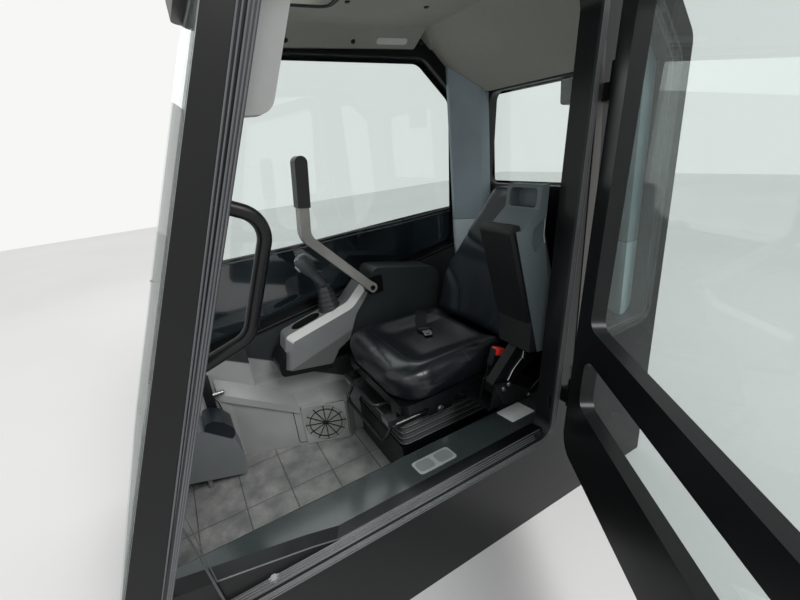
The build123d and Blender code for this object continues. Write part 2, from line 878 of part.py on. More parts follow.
# Control pods: the right one lies in its working position, the left one is raised. Their points are
# distances in Y and Z from the pivot, and the left pod has a hollow grip in front of its nose.
pod_axis = Axis((0, pod_pivot_y, pod_pivot_z), (1, 0, 0))
pod_knee = 218
knee_height = pod_nose_height + (pod_nose - pod_knee) * tan(radians(pod_rise))
crest_height = knee_height + 68
pod_rear = ((-108, crest_height), (-144, crest_height - 59), (-194, crest_height - 117))
right_profile = (
    (-502, -26),
    (-pod_nose, pod_nose_height),
    (-pod_knee, knee_height),
    (-148, crest_height),
    *pod_rear,
    (-236, 26),
    (-284, 0),
    (-321, -53),
)
right_radii = (0, pod_rim + 2, 60, 40, 0, 0, 0, 14, 10, 12)
left_profile = (
    (-490, -29),
    (-492, -6),
    (-543, 49),
    (-603, 54),
    (-608, 88),
    (-588, pod_nose_height),
    (-pod_nose, pod_nose_height),
    (-pod_knee, knee_height),
    (-148, crest_height),
    (-108, crest_height),
    (-132, 61),
    (-222, 61),
)
left_radii = (0, 6, 14, 14, 14, 0, 30, 60, 40, 0, 0, 30)
right_tray = ((-486.9, 46), (-497, 44), (-524, 4), (-518, -44), (-322, -74), (-322, -53.6), (-502.8, -26.6))
left_tray = ((-492.6, -8), (-503, -10), (-512, -24), (-492, -46), (-226, 43), (-226, 59.2), (-490.6, -29.7))
grip_pocket = ((-540, 104), (-492, 34), (-454, 33), (-430, 50), (-470, 104))


def from_pivot(points):
    """Points in Y and Z of a pod in its working position, from distances to its pivot."""
    return [(pod_pivot_y + y, pod_pivot_z + z) for y, z in points]


def pod_plane(plane, raised):
    """A plane of a pod in its working position, turned up with the pod if it is raised."""
    return turned(plane, pod_axis, -pod_raise) if raised else plane


def pod_side(x, raised):
    """A side plane of a pod at x, as Y and Z of the working position."""
    return pod_plane(side(x), raised)


def tilted(x, back, height, lean, raised):
    """A plane whose Z leans forward from the upright, a distance in front of and above the pivot."""
    upward = (0, -sin(radians(lean)), cos(radians(lean)))
    return pod_plane(Plane((x, pod_pivot_y - back, pod_pivot_z + height), x_dir=(1, 0, 0), z_dir=upward), raised)


def top_height(back):
    """How far the pod's sloping top is above the pivot at a distance in front of it."""
    return pod_nose_height + (pod_nose - back) * tan(radians(pod_rise))


boot_radius = pod_width / 2 - boot_margin
stick_back = pod_nose - stick_setback
stick_foot = top_height(stick_back)
grip_base = (stick_back + 10, stick_foot + boot_rings * boot_pitch + 9)
for hand, pod_x, raised, profile, radii, tray in (
    ("right", right_pod_x, False, right_profile, right_radii, right_tray),
    ("left", left_pod_x, True, left_profile, left_radii, left_tray),
):
    base = pod_side(pod_x, raised)
    mid_x = pod_x + pod_width / 2
    with BuildPart() as pod_body:
        with BuildSketch(base):
            outline(from_pivot(profile), radii)
        extrude(amount=pod_width)
        rim_edges = []
        for edge in pod_body.edges():
            at = base.to_local_coords(edge.center())
            on_side = min(abs(at.Z), abs(at.Z - pod_width)) < 0.1
            height = at.Y - pod_pivot_z
            on_top = height > max(top_height(pod_pivot_y - at.X) - 12, pod_nose_height - 4)
            before_rear = at.X - pod_pivot_y < -128
            if on_side and on_top and before_rear:
                rim_edges.append(edge)
        chamfer(rim_edges, length=pod_rim)
        with BuildSketch(tilted(mid_x, pod_nose - cup_setback, top_height(pod_nose - cup_setback), pod_rise, raised)):
            SlotOverall(cup_length, cup_width, rotation=90)
        extrude(amount=-cup_depth, mode=Mode.SUBTRACT)
        if raised:
            with BuildSketch(tilted(mid_x, 571, 40, 0, raised)):
                RectangleRounded(pod_width - 26, 50, 12)
            extrude(amount=48, mode=Mode.SUBTRACT)
            with BuildSketch(pod_side(pod_x + pod_width, raised)):
                with BuildLine():
                    Polyline(*from_pivot(grip_pocket), close=True)
                make_face()
            extrude(amount=-14, mode=Mode.SUBTRACT)
    pod_body.part.label = "pod_body_" + hand
    export_step(pod_body.part, "parts/pod_body_" + hand + ".step")

    with BuildPart() as pod_tray:
        with BuildSketch(pod_side(pod_x + 4, raised)):
            outline(from_pivot(tray), (0, 6, 16, 18, 0, 0, 0))
        extrude(amount=pod_width - 8)
    pod_tray.part.label = "pod_tray_" + hand
    export_step(pod_tray.part, "parts/pod_tray_" + hand + ".step")

    with BuildPart() as stick_boot:
        for ring in range(boot_rings):
            ring_height = stick_foot + 1 + ring * boot_pitch
            with BuildSketch(tilted(mid_x, stick_back + ring * 1.5, ring_height, pod_rise - ring * 3, raised)):
                Circle(boot_radius * (1 - ring / boot_point_ring))
            extrude(amount=boot_pitch + 1.5, taper=18)
    stick_boot.part.label = "stick_boot_" + hand
    export_step(stick_boot.part, "parts/stick_boot_" + hand + ".step")

    with BuildPart() as stick_grip:
        grip_plane = tilted(mid_x, *grip_base, stick_lean, raised)
        for along, radius in ((0, grip_radius), (60, grip_radius + 4), (112, grip_radius + 6)):
            with BuildSketch(grip_plane.offset(along)):
                Circle(radius)
        loft()
        with BuildSketch(grip_plane.offset(100)):
            RectangleRounded(56, 62, 20)
        extrude(amount=46)
        fillet(stick_grip.edges().group_by(lambda e: grip_plane.to_local_coords(e.center()).Z)[-1], radius=14)
    stick_grip.part.label = "stick_grip_" + hand
    export_step(stick_grip.part, "parts/stick_grip_" + hand + ".step")

# Arm that carries the left pod on the seat's pivot pin
with BuildPart() as pod_arm:
    with BuildSketch(pod_side(arm_x, True)):
        outline(
            from_pivot(((-129.9, 73), (-116, 176), (-86, 176), (20, 16), (20, -16), (-18, -18))),
            (0, 0, 20, 18, 14, 14),
        )
        with Locations((pod_pivot_y, pod_pivot_z)):
            Circle(pod_pin_radius + pin_clearance, mode=Mode.SUBTRACT)
    extrude(amount=arm_width)
pod_arm.part.label = "pod_arm"
export_step(pod_arm.part, "parts/pod_arm.step")

# Armrest box behind the right pod, and the bar's hinge plate on it
with BuildPart() as armrest_box:
    with BuildSketch(side(right_pod_x)):
        outline(
            from_pivot(
                ((-222, -50), (-233.4, 25.5), *[(y + 0.6, z) for y, z in reversed(pod_rear)], (-101, 288), (218, 223),
                 (174, -67))
            ),
            (8, 0, 0, 0, 0, 30, 50, 30),
        )
    extrude(amount=-armrest_x - right_pod_x)
armrest_box.part.label = "armrest_box"
export_step(armrest_box.part, "parts/armrest_box.step")


def from_bar(points):
    """Points in Y and Z from distances to the bar's pivot."""
    return [(bar_pivot_y + y, bar_pivot_z + z) for y, z in points]


pod_inner_x = right_pod_x + pod_width
with BuildPart() as bar_hinge:
    with BuildSketch(side(pod_inner_x + fit_gap)):
        outline(from_bar(((-17, -18), (-3, 26), (67, 26), (67, -44), (7, -44))), 8)
    extrude(amount=3.7)
    with BuildSketch(side(-armrest_x + fit_gap)):
        outline(from_bar(((35, 21), (65, 21), (65, -40), (31, -40))), 4)
    extrude(amount=8)
    with BuildSketch(side(pod_inner_x + fit_gap)):
        with Locations((bar_pivot_y, bar_pivot_z)):
            Circle(pin_seat_radius)
    extrude(amount=bar_width + 10)
bar_hinge.part.label = "bar_hinge"
export_step(bar_hinge.part, "parts/bar_hinge.step")

# Restraint bar, with the pad on its upper half
bar_low_x = pod_inner_x + 5.5
pad_start = (-207.7, 331)
bar_tip = (-193, 473)
with BuildPart() as restraint_bar:
    with BuildSketch(side(bar_low_x)):
        with BuildLine():
            FilletPolyline(*from_bar(((0, 0), (-218, 231), pad_start)), radius=60)
        trace(line_width=bar_depth)
        with Locations((bar_pivot_y, bar_pivot_z)):
            Circle(20)
            Circle(pin_seat_radius + pin_clearance, mode=Mode.SUBTRACT)
    extrude(amount=bar_width)
restraint_bar.part.label = "restraint_bar"
export_step(restraint_bar.part, "parts/restraint_bar.step")

with BuildPart() as bar_pad:
    with BuildSketch(side(bar_low_x - 3)):
        with BuildLine():
            Line(*from_bar(((pad_start[0] + 0.1, pad_start[1] + 1), bar_tip)))
        trace(line_width=bar_depth + 8)
        with Locations(*from_bar((bar_tip,))):
            Circle((bar_depth + 8) / 2)
    extrude(amount=bar_width + 6)
bar_pad.part.label = "bar_pad"
export_step(bar_pad.part, "parts/bar_pad.step")

# Side door
upper_low_z = door_rail_z + door_rail_height / 2
lower_top_z = door_rail_z - door_rail_height / 2
light_top_z = header_z - door_border
light_low_z = sill_top + door_foot


def light(low, high):
    """A window opening of the door between two heights."""
    return (
        (a_edge(low) + door_border, low),
        (a_edge(high) + door_border, high),
        (b_edge(high) - door_border, high),
        (b_edge(low) - door_border, low),
    )


def door_side(x):
    """A side plane of the shut door at x, swung open with it."""
    return turned(side(x), door_axis, door_open)


door_inner_x = half_width + door_gap
door_outer_x = door_inner_x + door_thickness
with BuildPart() as door_frame:
    with BuildSketch(door_side(door_inner_x)):
        outline(door_opening, door_opening_radii)
        offset(amount=door_lap, mode=Mode.REPLACE)
        outline(light(upper_low_z, light_top_z), (35, 50, 45, 35), Mode.SUBTRACT)
        outline(light(light_low_z, lower_top_z), (35, 35, 35, 35), Mode.SUBTRACT)
    extrude(amount=door_thickness)
door_frame.part.label = "door_frame"
export_step(door_frame.part, "parts/door_frame.step")

for name, low, high in (("door_glass_upper", upper_low_z, light_top_z), ("door_glass_lower", light_low_z, lower_top_z)):
    with BuildPart() as door_glass:
        with BuildSketch(door_side(door_outer_x)):
            outline(light(low, high), 35)
            offset(amount=glass_lap - 2, mode=Mode.REPLACE)
        extrude(amount=glass_thickness)
    door_glass.part.label = name
    export_step(door_glass.part, "parts/" + name + ".step")

with BuildPart() as door_handle:
    handle_z = door_rail_z - 20
    handle_at = (a_edge(handle_z) + 11, handle_z)
    with BuildSketch(door_side(door_outer_x)):
        with Locations(handle_at):
            with Locations((-20, -60), (20, 60)):
                RectangleRounded(26, 30, 6)
    extrude(amount=34)
    with BuildSketch(door_side(door_outer_x + 34)):
        with Locations(handle_at):
            RectangleRounded(28, 170, 12, rotation=-a_rake + 2)
    extrude(amount=12)
door_handle.part.label = "door_handle"
export_step(door_handle.part, "parts/door_handle.step")


def hinge_plane(z, along, angle):
    """A plane across the door's hinge line, a distance along it from the hinge at z."""
    centre = door_axis.position + door_axis.direction * ((z - knee_z) / cos(radians(b_rake)) + along)
    return turned(Plane(centre, x_dir=(1, 0, 0), z_dir=door_axis.direction), door_axis, angle)


with BuildPart() as hinge_brackets:
    for z in hinge_heights:
        with BuildSketch(hinge_plane(z, -knuckle_length, 0)):
            Circle(knuckle_radius)
            with Locations(((half_width - hinge_x) / 2, 6)):
                Rectangle(hinge_x - half_width, 12)
            with Locations((half_width - hinge_x + 4, 28)):
                Rectangle(8, 56)
        extrude(amount=knuckle_length)
        with BuildSketch(hinge_plane(z, 0, 0)):
            Circle(pin_radius)
        extrude(amount=knuckle_length + 4)
hinge_brackets.part.label = "hinge_brackets"
export_step(hinge_brackets.part, "parts/hinge_brackets.step")

strap_x = door_outer_x - hinge_x
with BuildPart() as hinge_straps:
    for z in hinge_heights:
        with BuildSketch(hinge_plane(z, 0.5, door_open)):
            Circle(knuckle_radius)
            with Locations(((strap_x + 8) / 2, -8)):
                Rectangle(strap_x + 8, 16)
            with Locations((strap_x + 4, -35)):
                Rectangle(8, 70)
            Circle(pin_radius + pin_clearance, mode=Mode.SUBTRACT)
        extrude(amount=knuckle_length)
hinge_straps.part.label = "hinge_straps"
export_step(hinge_straps.part, "parts/hinge_straps.step")

# Rubber seal round the doorway
with BuildPart() as door_seal:
    with BuildSketch(side(half_width)):
        outline(door_opening, door_opening_radii)
        offset(amount=15, mode=Mode.REPLACE)
        outline(door_opening, door_opening_radii, Mode.SUBTRACT)
    extrude(amount=7)
door_seal.part.label = "door_seal"
export_step(door_seal.part, "parts/door_seal.step")

# Grab handle on the front post
grab_x = inner_face - 27
grab_radius = 13.5
grab_ends = ((-401, 1102), (-492, 798))
with BuildPart() as grab_handle:
    with BuildLine():
        grab_path = FilletPolyline(
            (inner_half, *grab_ends[0]),
            (grab_x, *grab_ends[0]),
            (grab_x, -292, 1052),
            (grab_x, -372, 838),
            (grab_x, *grab_ends[1]),
            (inner_half, *grab_ends[1]),
            radius=(16, 50, 50, 16),
        )
    with BuildSketch(Plane(origin=grab_path @ 0, z_dir=grab_path % 0)):
        Circle(grab_radius)
    sweep()
    with BuildSketch(side(inner_half - 5)):
        with Locations(*grab_ends):
            Circle(22)
    extrude(amount=5)
grab_handle.part.label = "grab_handle"
export_step(grab_handle.part, "parts/grab_handle.step")

# Display housing on the upper front post
panel_low_z = 1220
panel_top_z = header_z + 10
panel_depth = 34
with BuildPart() as post_panel:
    with BuildSketch(side(inner_half - panel_depth)):
        outline(
            (
                (a_edge(panel_low_z) - 50, panel_low_z),
                (a_edge(panel_low_z) + 55, panel_low_z),
                (a_edge(panel_top_z) + 55, panel_top_z),
                (a_edge(panel_top_z) - 50, panel_top_z),
            ),
            (30, 34, 8, 8),
        )
    extrude(amount=panel_depth)
post_panel.part.label = "post_panel"
export_step(post_panel.part, "parts/post_panel.step")

# Foot control: a housing on two feet with a rounded cap on its slope
pedal_x = kick_wall_x + 37
pedal_width = 108
slope_low = (-443, 241)
slope_top = (-538, 324)
with BuildPart() as pedal_box:
    with BuildSketch(side(pedal_x)):
        outline(((-640, 150), (-437, 92), (-430, 168), slope_low, slope_top, (-640, 345)), (0, 10, 30, 14, 12, 4))
    extrude(amount=pedal_width)
    with BuildSketch(Plane.XY.offset(mat_top)):
        with Locations((pedal_x + pedal_width / 2, -452), (pedal_x + pedal_width / 2, -560)):
            Rectangle(pedal_width - 30, 14)
    extrude(amount=60)
pedal_box.part.label = "pedal_box"
export_step(pedal_box.part, "parts/pedal_box.step")

with BuildPart() as pedal_cap:
    with BuildSketch(side(pedal_x + 4)):
        outline(
            ((-529.8, 317.3), (-454.8, 251.8), (-441, 262), (-438, 288), (-466, 326), (-494, 343), (-522, 342)),
            (0, 0, 8, 16, 22, 22, 12),
        )
    extrude(amount=pedal_width - 8)
pedal_cap.part.label = "pedal_cap"
export_step(pedal_cap.part, "parts/pedal_cap.step")

# Round web grille on the kick panel
grille_half = 84
grille_hole = 78
web_rib = 3
panel_from, panel_to = kick_foot[2], kick_foot[3]
grille_heading = atan2(panel_to[1] - panel_from[1], panel_to[0] - panel_from[0])
grille_share = 0.65
grille_plane = Plane(
    (
        panel_from[0] + grille_share * (panel_to[0] - panel_from[0]) + fit_gap * sin(grille_heading),
        panel_from[1] + grille_share * (panel_to[1] - panel_from[1]) - fit_gap * cos(grille_heading),
        mat_top + grille_half + 2,
    ),
    x_dir=(cos(grille_heading), sin(grille_heading), 0),
    z_dir=(sin(grille_heading), -cos(grille_heading), 0),
)
with BuildPart() as kick_grille:
    with BuildSketch(grille_plane):
        RectangleRounded(2 * grille_half, 2 * grille_half, 8)
        Circle(grille_hole, mode=Mode.SUBTRACT)
        for web_radius in (18, 33, 48, 63):
            Circle(web_radius)
            Circle(web_radius - web_rib, mode=Mode.SUBTRACT)
        Circle(6)
        with PolarLocations((grille_hole + 5) / 2, 12):
            Rectangle(grille_hole - 3, web_rib)
    extrude(amount=4)
kick_grille.part.label = "kick_grille"
export_step(kick_grille.part, "parts/kick_grille.step")

# Work lamps: two on the roof's front edge, one under the rear edge
with BuildPart() as front_lamps:
    for lamp_x in (-330, 330):
        with BuildSketch(Plane.XY.offset(frame_top + roof_height)):
            with Locations((lamp_x, roof_front_y + 95)):
                Rectangle(30, 40)
        extrude(amount=22)
        with BuildSketch(Plane.XZ.offset(-roof_front_y - 130)):
            with Locations((lamp_x, frame_top + roof_height + 58)):
                RectangleRounded(124, 76, 14)
        extrude(amount=70, taper=-4)
front_lamps.part.label = "front_lamps"
export_step(front_lamps.part, "parts/front_lamps.step")

with BuildPart() as rear_lamp:
    with BuildSketch(Plane.XY.offset(rear_lamp_z + rear_lamp_drop)):
        with Locations((rear_lamp_x, rear_y + 30)):
            Rectangle(50, 60)
    extrude(amount=6)
    with BuildSketch(Plane.XZ.offset(-rear_y - 22)):
        with Locations((rear_lamp_x, rear_lamp_z)):
            RectangleRounded(98, 92, 14)
    extrude(amount=-56, taper=-4)
    with BuildSketch(Plane.XY.offset(rear_lamp_z + rear_lamp_drop - 18)):
        with Locations((rear_lamp_x, rear_y + 45)):
            Rectangle(30, 16)
    extrude(amount=20)
rear_lamp.part.label = "rear_lamp"
export_step(rear_lamp.part, "parts/rear_lamp.step")
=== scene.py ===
from math import cos, exp, radians, sin

import bmesh
import bpy
from mathutils import Matrix, Vector
from mathutils.bvhtree import BVHTree


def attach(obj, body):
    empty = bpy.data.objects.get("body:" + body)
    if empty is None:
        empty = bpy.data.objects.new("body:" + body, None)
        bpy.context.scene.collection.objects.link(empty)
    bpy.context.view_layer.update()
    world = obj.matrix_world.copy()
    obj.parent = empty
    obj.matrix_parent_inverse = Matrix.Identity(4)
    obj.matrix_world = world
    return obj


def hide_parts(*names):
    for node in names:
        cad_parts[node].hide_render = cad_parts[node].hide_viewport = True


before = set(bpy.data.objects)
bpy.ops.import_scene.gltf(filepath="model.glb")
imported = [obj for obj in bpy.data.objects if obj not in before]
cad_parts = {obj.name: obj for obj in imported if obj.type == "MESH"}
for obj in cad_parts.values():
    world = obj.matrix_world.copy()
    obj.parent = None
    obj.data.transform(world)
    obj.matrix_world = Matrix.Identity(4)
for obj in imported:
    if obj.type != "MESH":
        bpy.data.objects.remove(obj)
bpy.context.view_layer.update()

scene = bpy.context.scene
scene.view_settings.view_transform = "Standard"
scene.view_settings.look = "None"

# Places taken from the frame, in millimetres and degrees
right_pod_x, left_pod_x = -317.5, 324.5
pod_pivot_y, pod_pivot_z = 286, 424
pod_raise = 95.6
bar_pivot_y, bar_pivot_z = 153, 654
door_post_x = 460.4
recline = radians(19.0)
back_foot = Vector((0, 458, 470))
stick_lean = radians(32.0)
stick_foot_y, stick_foot_z = -2.0, 678.2
doorway_foot, doorway_top = 303, 1455
to_left, to_right, to_rear, to_top, to_foot = (1, 0, 0), (-1, 0, 0), (0, 1, 0), (0, 0, 1), (0, 0, -1)


# Shader maths: a small class whose operators make math nodes, and one method that makes every node
class Tree:
    """The nodes of a new material, or of another owner such as the world."""

    def __init__(self, name, owner=None):
        self.owner = owner or bpy.data.materials.new(name)
        self.owner.use_nodes = True
        self.tree = self.owner.node_tree
        self.tree.nodes.clear()

    def node(self, kind, inputs=None, output=0, **settings):
        """One output of a new node, after its settings and the values or links of its sockets are set."""
        made = self.tree.nodes.new(kind)
        for key, value in settings.items():
            setattr(made, key, value)
        for key, given in (inputs or {}).items():
            for value in given if isinstance(given, list) else [given]:
                if isinstance(value, Value):
                    self.tree.links.new(value.socket, made.inputs[key])
                else:
                    made.inputs[key].default_value = value
        return Value(self, made.outputs[output]) if made.outputs else None

    def math(self, operation, *values):
        return self.node("ShaderNodeMath", dict(enumerate(values)), operation=operation)

    def smooth(self, value, low, high, to_low=0.0, to_high=1.0):
        return self.node("ShaderNodeMapRange", {0: value, 1: low, 2: high, 3: to_low, 4: to_high},
                         interpolation_type="SMOOTHSTEP")

    def mix(self, share, low, high):
        low, high = [linear(tone) if isinstance(tone, str) else tone for tone in (low, high)]
        return self.node("ShaderNodeMix", {0: share, 6: low, 7: high}, output=2, data_type="RGBA")

    def noise(self, vector, scale, detail=3.0, roughness=0.5):
        return self.node("ShaderNodeTexNoise",
                         {"Vector": vector, "Scale": scale, "Detail": detail, "Roughness": roughness})

    def soft(self, scale, detail=4.0):
        """Soft patches between 0 and 1."""
        return self.smooth(self.noise(self.place(), scale, detail), 0.35, 0.65)

    def place(self):
        return self.node("ShaderNodeTexCoord", output="Object")

    def split(self, vector):
        x = self.node("ShaderNodeSeparateXYZ", {0: vector})
        return [Value(self, socket) for socket in x.socket.node.outputs]

    def bump(self, height, distance, strength=1.0):
        return self.node("ShaderNodeBump", {"Height": height, "Distance": distance, "Strength": strength})

    def shown(self, shader, kind="ShaderNodeOutputMaterial"):
        self.node(kind, {0: shader})
        return self.owner

    def finish(self, values):
        return self.shown(self.node("ShaderNodeBsdfPrincipled", values))


class Value:
    """One output of a node, for maths written as Python expressions."""

    def __init__(self, tree, socket):
        self.tree = tree
        self.socket = socket

    def __add__(self, other):
        return self.tree.math("ADD", self, other)

    def __sub__(self, other):
        return self.tree.math("SUBTRACT", self, other)

    def __rsub__(self, other):
        return self.tree.math("SUBTRACT", other, self)

    def __mul__(self, other):
        return self.tree.math("MULTIPLY", self, other)

    __radd__ = __add__
    __rmul__ = __mul__


def linear(code):
    """An sRGB colour code as linear red, green, blue and alpha."""
    parts = [int(code[at:at + 2], 16) / 255 for at in (1, 3, 5)]
    return (*[c / 12.92 if c <= 0.04045 else ((c + 0.055) / 1.055) ** 2.4 for c in parts], 1.0)


def shade(code, factor):
    """The linear colour of a code, made lighter or darker by a factor."""
    return (*[min(1.0, c * factor) for c in linear(code)[:3]], 1.0)


def finish_of(name, code, roughness, metallic=0.0, coat=0.0, grain=400.0, depth=0.0, worn=0.12,
              specular=0.5):
    """A painted, moulded or metal finish: its tone and sheen vary softly, and it may have a fine grain."""
    tree = Tree(name)
    at = tree.place()
    broad = tree.noise(at, 3.5, 4.0)
    fine = tree.noise(at, 60.0, 3.0)
    share = tree.smooth(broad * 0.85 + fine * 0.15, 0.35, 0.65)
    values = {
        "Base Color": tree.mix(share, shade(code, 1 - worn), shade(code, 1 + worn)),
        "Roughness": tree.smooth(broad, 0.3, 0.7, max(roughness - 0.02, 0.02), min(roughness + 0.03, 1.0)),
        "Metallic": metallic,
        "Coat Weight": coat,
        "Coat Roughness": 0.12,
        "Specular IOR Level": specular,
    }
    if depth:
        values["Normal"] = tree.bump(tree.noise(at, grain, 2.0), depth, 0.3)
    return tree.finish(values)


frame_black = finish_of("frame_black", "#0b0c0e", 0.3, coat=0.06, worn=0.1, specular=0.3)
sill_black = finish_of("sill_black", "#343b3b", 0.2, coat=0.6)
floor_black = finish_of("floor_black", "#202020", 0.5, specular=0.3)
pedal_grey = finish_of("pedal_grey", "#6a6d6e", 0.5, grain=500.0, depth=0.0003, worn=0.08)
lining_grey = finish_of("lining_grey", "#918f88", 0.75, grain=420.0, depth=0.0004, worn=0.06)
black_plastic = finish_of("black_plastic", "#101113", 0.42, specular=0.35, grain=500.0, depth=0.0002)
armrest_grey = finish_of("armrest_grey", "#23292a", 0.45, grain=500.0, depth=0.0003, worn=0.08)
strip_grey = finish_of("strip_grey", "#393836", 0.5, worn=0.08)
seat_vinyl = finish_of("seat_vinyl", "#13161a", 0.3, coat=0.15, grain=22.0, depth=0.0006, worn=0.06)
back_vinyl = finish_of("back_vinyl", "#1a1f25", 0.42, grain=22.0, depth=0.0006, worn=0.06, specular=0.35)
shell_black = finish_of("shell_black", "#141618", 0.5, grain=420.0, depth=0.0004, worn=0.1)
rubber_black = finish_of("rubber_black", "#131415", 0.5, worn=0.15)
orange_knob = finish_of("orange_knob", "#c06a1c", 0.35)
zinc = finish_of("zinc", "#a9abac", 0.3, metallic=1.0)
dull_steel = finish_of("dull_steel", "#6b6d6f", 0.55, metallic=1.0)
red_button = finish_of("red_button", "#d8332b", 0.3)
post_grey = finish_of("post_grey", "#8e8f8e", 0.5, worn=0.06)


def pod_finish(name, middle, raised, rounding, side, edge_highlight_tone, below):
    """A moulded pod: a painted highlight along its bevelled edge, painted shade in its cup's hollow, and a
    darker underside.
    """
    tree = Tree(name)
    x, y, z = tree.split(tree.place())
    turn = radians(raised)
    deck, slope_cos, slope_sin = 0.103, 0.9664, 0.2571
    forward, upward = y - pod_pivot_y / 1000, z - pod_pivot_z / 1000
    along = forward * cos(turn) + upward * sin(turn)
    high = upward * cos(turn) - forward * sin(turn)
    aside = tree.math("ABSOLUTE", x - middle / 1000)
    under_slope = (high - deck - (along + 0.474) * 0.2661) * slope_cos
    under_crest = (high - 0.1711 - (along + 0.218) * 0.9714) * 0.7173
    under_top = tree.math("MINIMUM", tree.math("MINIMUM", under_slope, under_crest), high - deck)
    off_bevel = tree.math("ABSOLUTE", under_top + aside - 0.0385)
    # Painted highlight: a lighter band along the bevelled edge, where light catches it
    edge_highlight_mask = tree.smooth(aside, 0.0379, 0.0389) * (1 - tree.smooth(aside, 0.0619, 0.0624))
    edge_highlight_mask = edge_highlight_mask * (1 - tree.smooth(off_bevel, rounding, rounding + 0.001))
    edge_highlight_mask = edge_highlight_mask * (1 - tree.smooth(along, -0.13, -0.126))
    ahead, rise = along + 0.381, high - 0.1277
    depth = ahead * slope_sin - rise * slope_cos
    reach = tree.math("ABSOLUTE", ahead * slope_cos + rise * slope_sin)
    # Painted shade: the walls of the cup's hollow are coloured nearly black
    cup = tree.smooth(depth, 0.0008, 0.0016) * (1 - tree.smooth(depth, 0.0522, 0.053))
    cup = cup * (1 - tree.smooth(aside, 0.0313, 0.0318)) * (1 - tree.smooth(reach, 0.0593, 0.0598))
    foot = 1 - tree.smooth(high + 0.029 - (along + 0.49) * 0.336, 0.001, 0.003)
    soft = tree.soft(5.0)
    body = tree.mix(soft, shade(side, 0.93), shade(side, 1.07))
    highlighted_body = tree.mix(edge_highlight_mask, body, edge_highlight_tone)
    cup_shaded = tree.mix(cup, highlighted_body, "#0d0e0f")
    return tree.finish({
        "Base Color": tree.mix(foot, cup_shaded, below),
        "Roughness": tree.smooth(soft, 0, 1, 0.44, 0.5),
        "Normal": tree.bump(tree.noise(tree.place(), 500.0, 2.0), 0.0003, 0.25),
    })


# The fifth colour of each pod is the painted highlight along its bevelled edge
pod_grey = pod_finish("pod_grey", right_pod_x, 0, 0.006, "#757778", "#c4c4c2", "#5a5b5b")
raised_pod_grey = pod_finish("raised_pod_grey", left_pod_x, -pod_raise, 0.0035,
                             "#4b5355", "#9ea19f", "#0b0c0e")


def wall_finish():
    """Side trim: mid grey below a slanting ridge and nearly black above it."""
    tree = Tree("wall_grey")
    at = tree.place()
    x, y, z = tree.split(at)
    above = tree.smooth(z - (0.481 - (y + 0.403) * 0.53), -0.004, 0.004)
    soft = tree.soft(4.0)
    low = tree.mix(soft, "#8c8d8d", "#9a9b9b")
    return tree.finish({
        "Base Color": tree.mix(above, low, "#25292a"),
        "Roughness": tree.smooth(soft, 0, 1, 0.5, 0.58),
        "Normal": tree.bump(tree.noise(at, 500.0, 2.0), 0.0003, 0.25),
    })


wall_grey = wall_finish()


def grille_finish():
    """Grey cover plate with a black web in its round opening."""
    tree = Tree("grille_grey")
    x, y, z = tree.split(tree.place())
    dx, dy, dz = x + 0.1955, y + 0.121, z - 0.166
    away = tree.math("SQRT", dx * dx + dy * dy + dz * dz)
    plate = tree.smooth(away, 0.0775, 0.0785)
    soft = tree.soft(6.0)
    grey = tree.mix(soft, "#8c8d8c", "#9a9a99")
    return tree.finish({"Base Color": tree.mix(plate, "#0e0f10", grey),
                          "Roughness": tree.smooth(soft, 0, 1, 0.46, 0.54)})


grille_grey = grille_finish()
boot_rubber = finish_of("boot_rubber", "#2b2c2e", 0.35)
bar_black = finish_of("bar_black", "#15161a", 0.3, specular=0.5)
cap_blue = finish_of("cap_blue", "#1b2026", 0.32, coat=0.2, worn=0.1)


def post_finish():
    """Blue-grey trim of the rear corners: paler foot below a joint."""
    tree = Tree("post_blue_grey")
    z = tree.split(tree.place())[2]
    soft = tree.soft(4.0, 3.0)
    upper = tree.mix(soft, "#7c8890", "#89959d")
    foot = tree.mix(1 - tree.smooth(z, 0.8025, 0.8035), upper, "#b4bec5")
    joint = tree.smooth(z, 0.8015, 0.803) * (1 - tree.smooth(z, 0.8035, 0.805))
    return tree.finish({
        "Base Color": tree.mix(joint, foot, "#15181b"),
        "Roughness": tree.smooth(soft, 0, 1, 0.56, 0.64),
        "Normal": tree.bump(joint * -1.0, 0.001, 0.7),
    })


post_blue_grey = post_finish()


def mat_finish():
    """Worn rubber mat: fields between joints, fine ribs across some of them, and soft patches that are partly
    its own varying tone and partly painted light and shade.
    """
    tree = Tree("mat_rubber")
    at = tree.place()
    x, y, z = tree.split(at)
    across = tree.math("PINGPONG", x + 0.035, 0.1)
    along = tree.math("PINGPONG", y + 0.02, 0.075)
    joint = 1 - tree.smooth(tree.math("MINIMUM", across, along), 0.0008, 0.0026)
    rib = tree.smooth(tree.math("PINGPONG", x, 0.006), 0.001, 0.004)
    ribbed = tree.smooth(y, -0.36, -0.355) * (1 - tree.smooth(y, -0.25, -0.245))
    # Soft patches between a shaded and a sunlit grey: partly random tone, partly painted light and shade
    tone_and_light_patches = tree.smooth(tree.noise(at, 11.0, 6.0, 0.65), 0.34, 0.7)
    scuff = tree.smooth(tree.noise(at, 45.0, 4.0, 0.65), 0.4, 0.7)
    base = tree.mix(tone_and_light_patches, "#656565", "#8f8e8c")
    rubbed = tree.mix(scuff * 0.5, base, "#737372")
    return tree.finish({
        "Base Color": tree.mix(joint * 0.7, rubbed, "#3c3c3c"),
        "Roughness": tree.smooth(tone_and_light_patches, 0, 1, 0.55, 0.85),
        "Normal": tree.bump(0 - joint + rib * ribbed * 0.6 + scuff * 0.15, 0.0016, 0.8),
    })


mat_rubber = mat_finish()


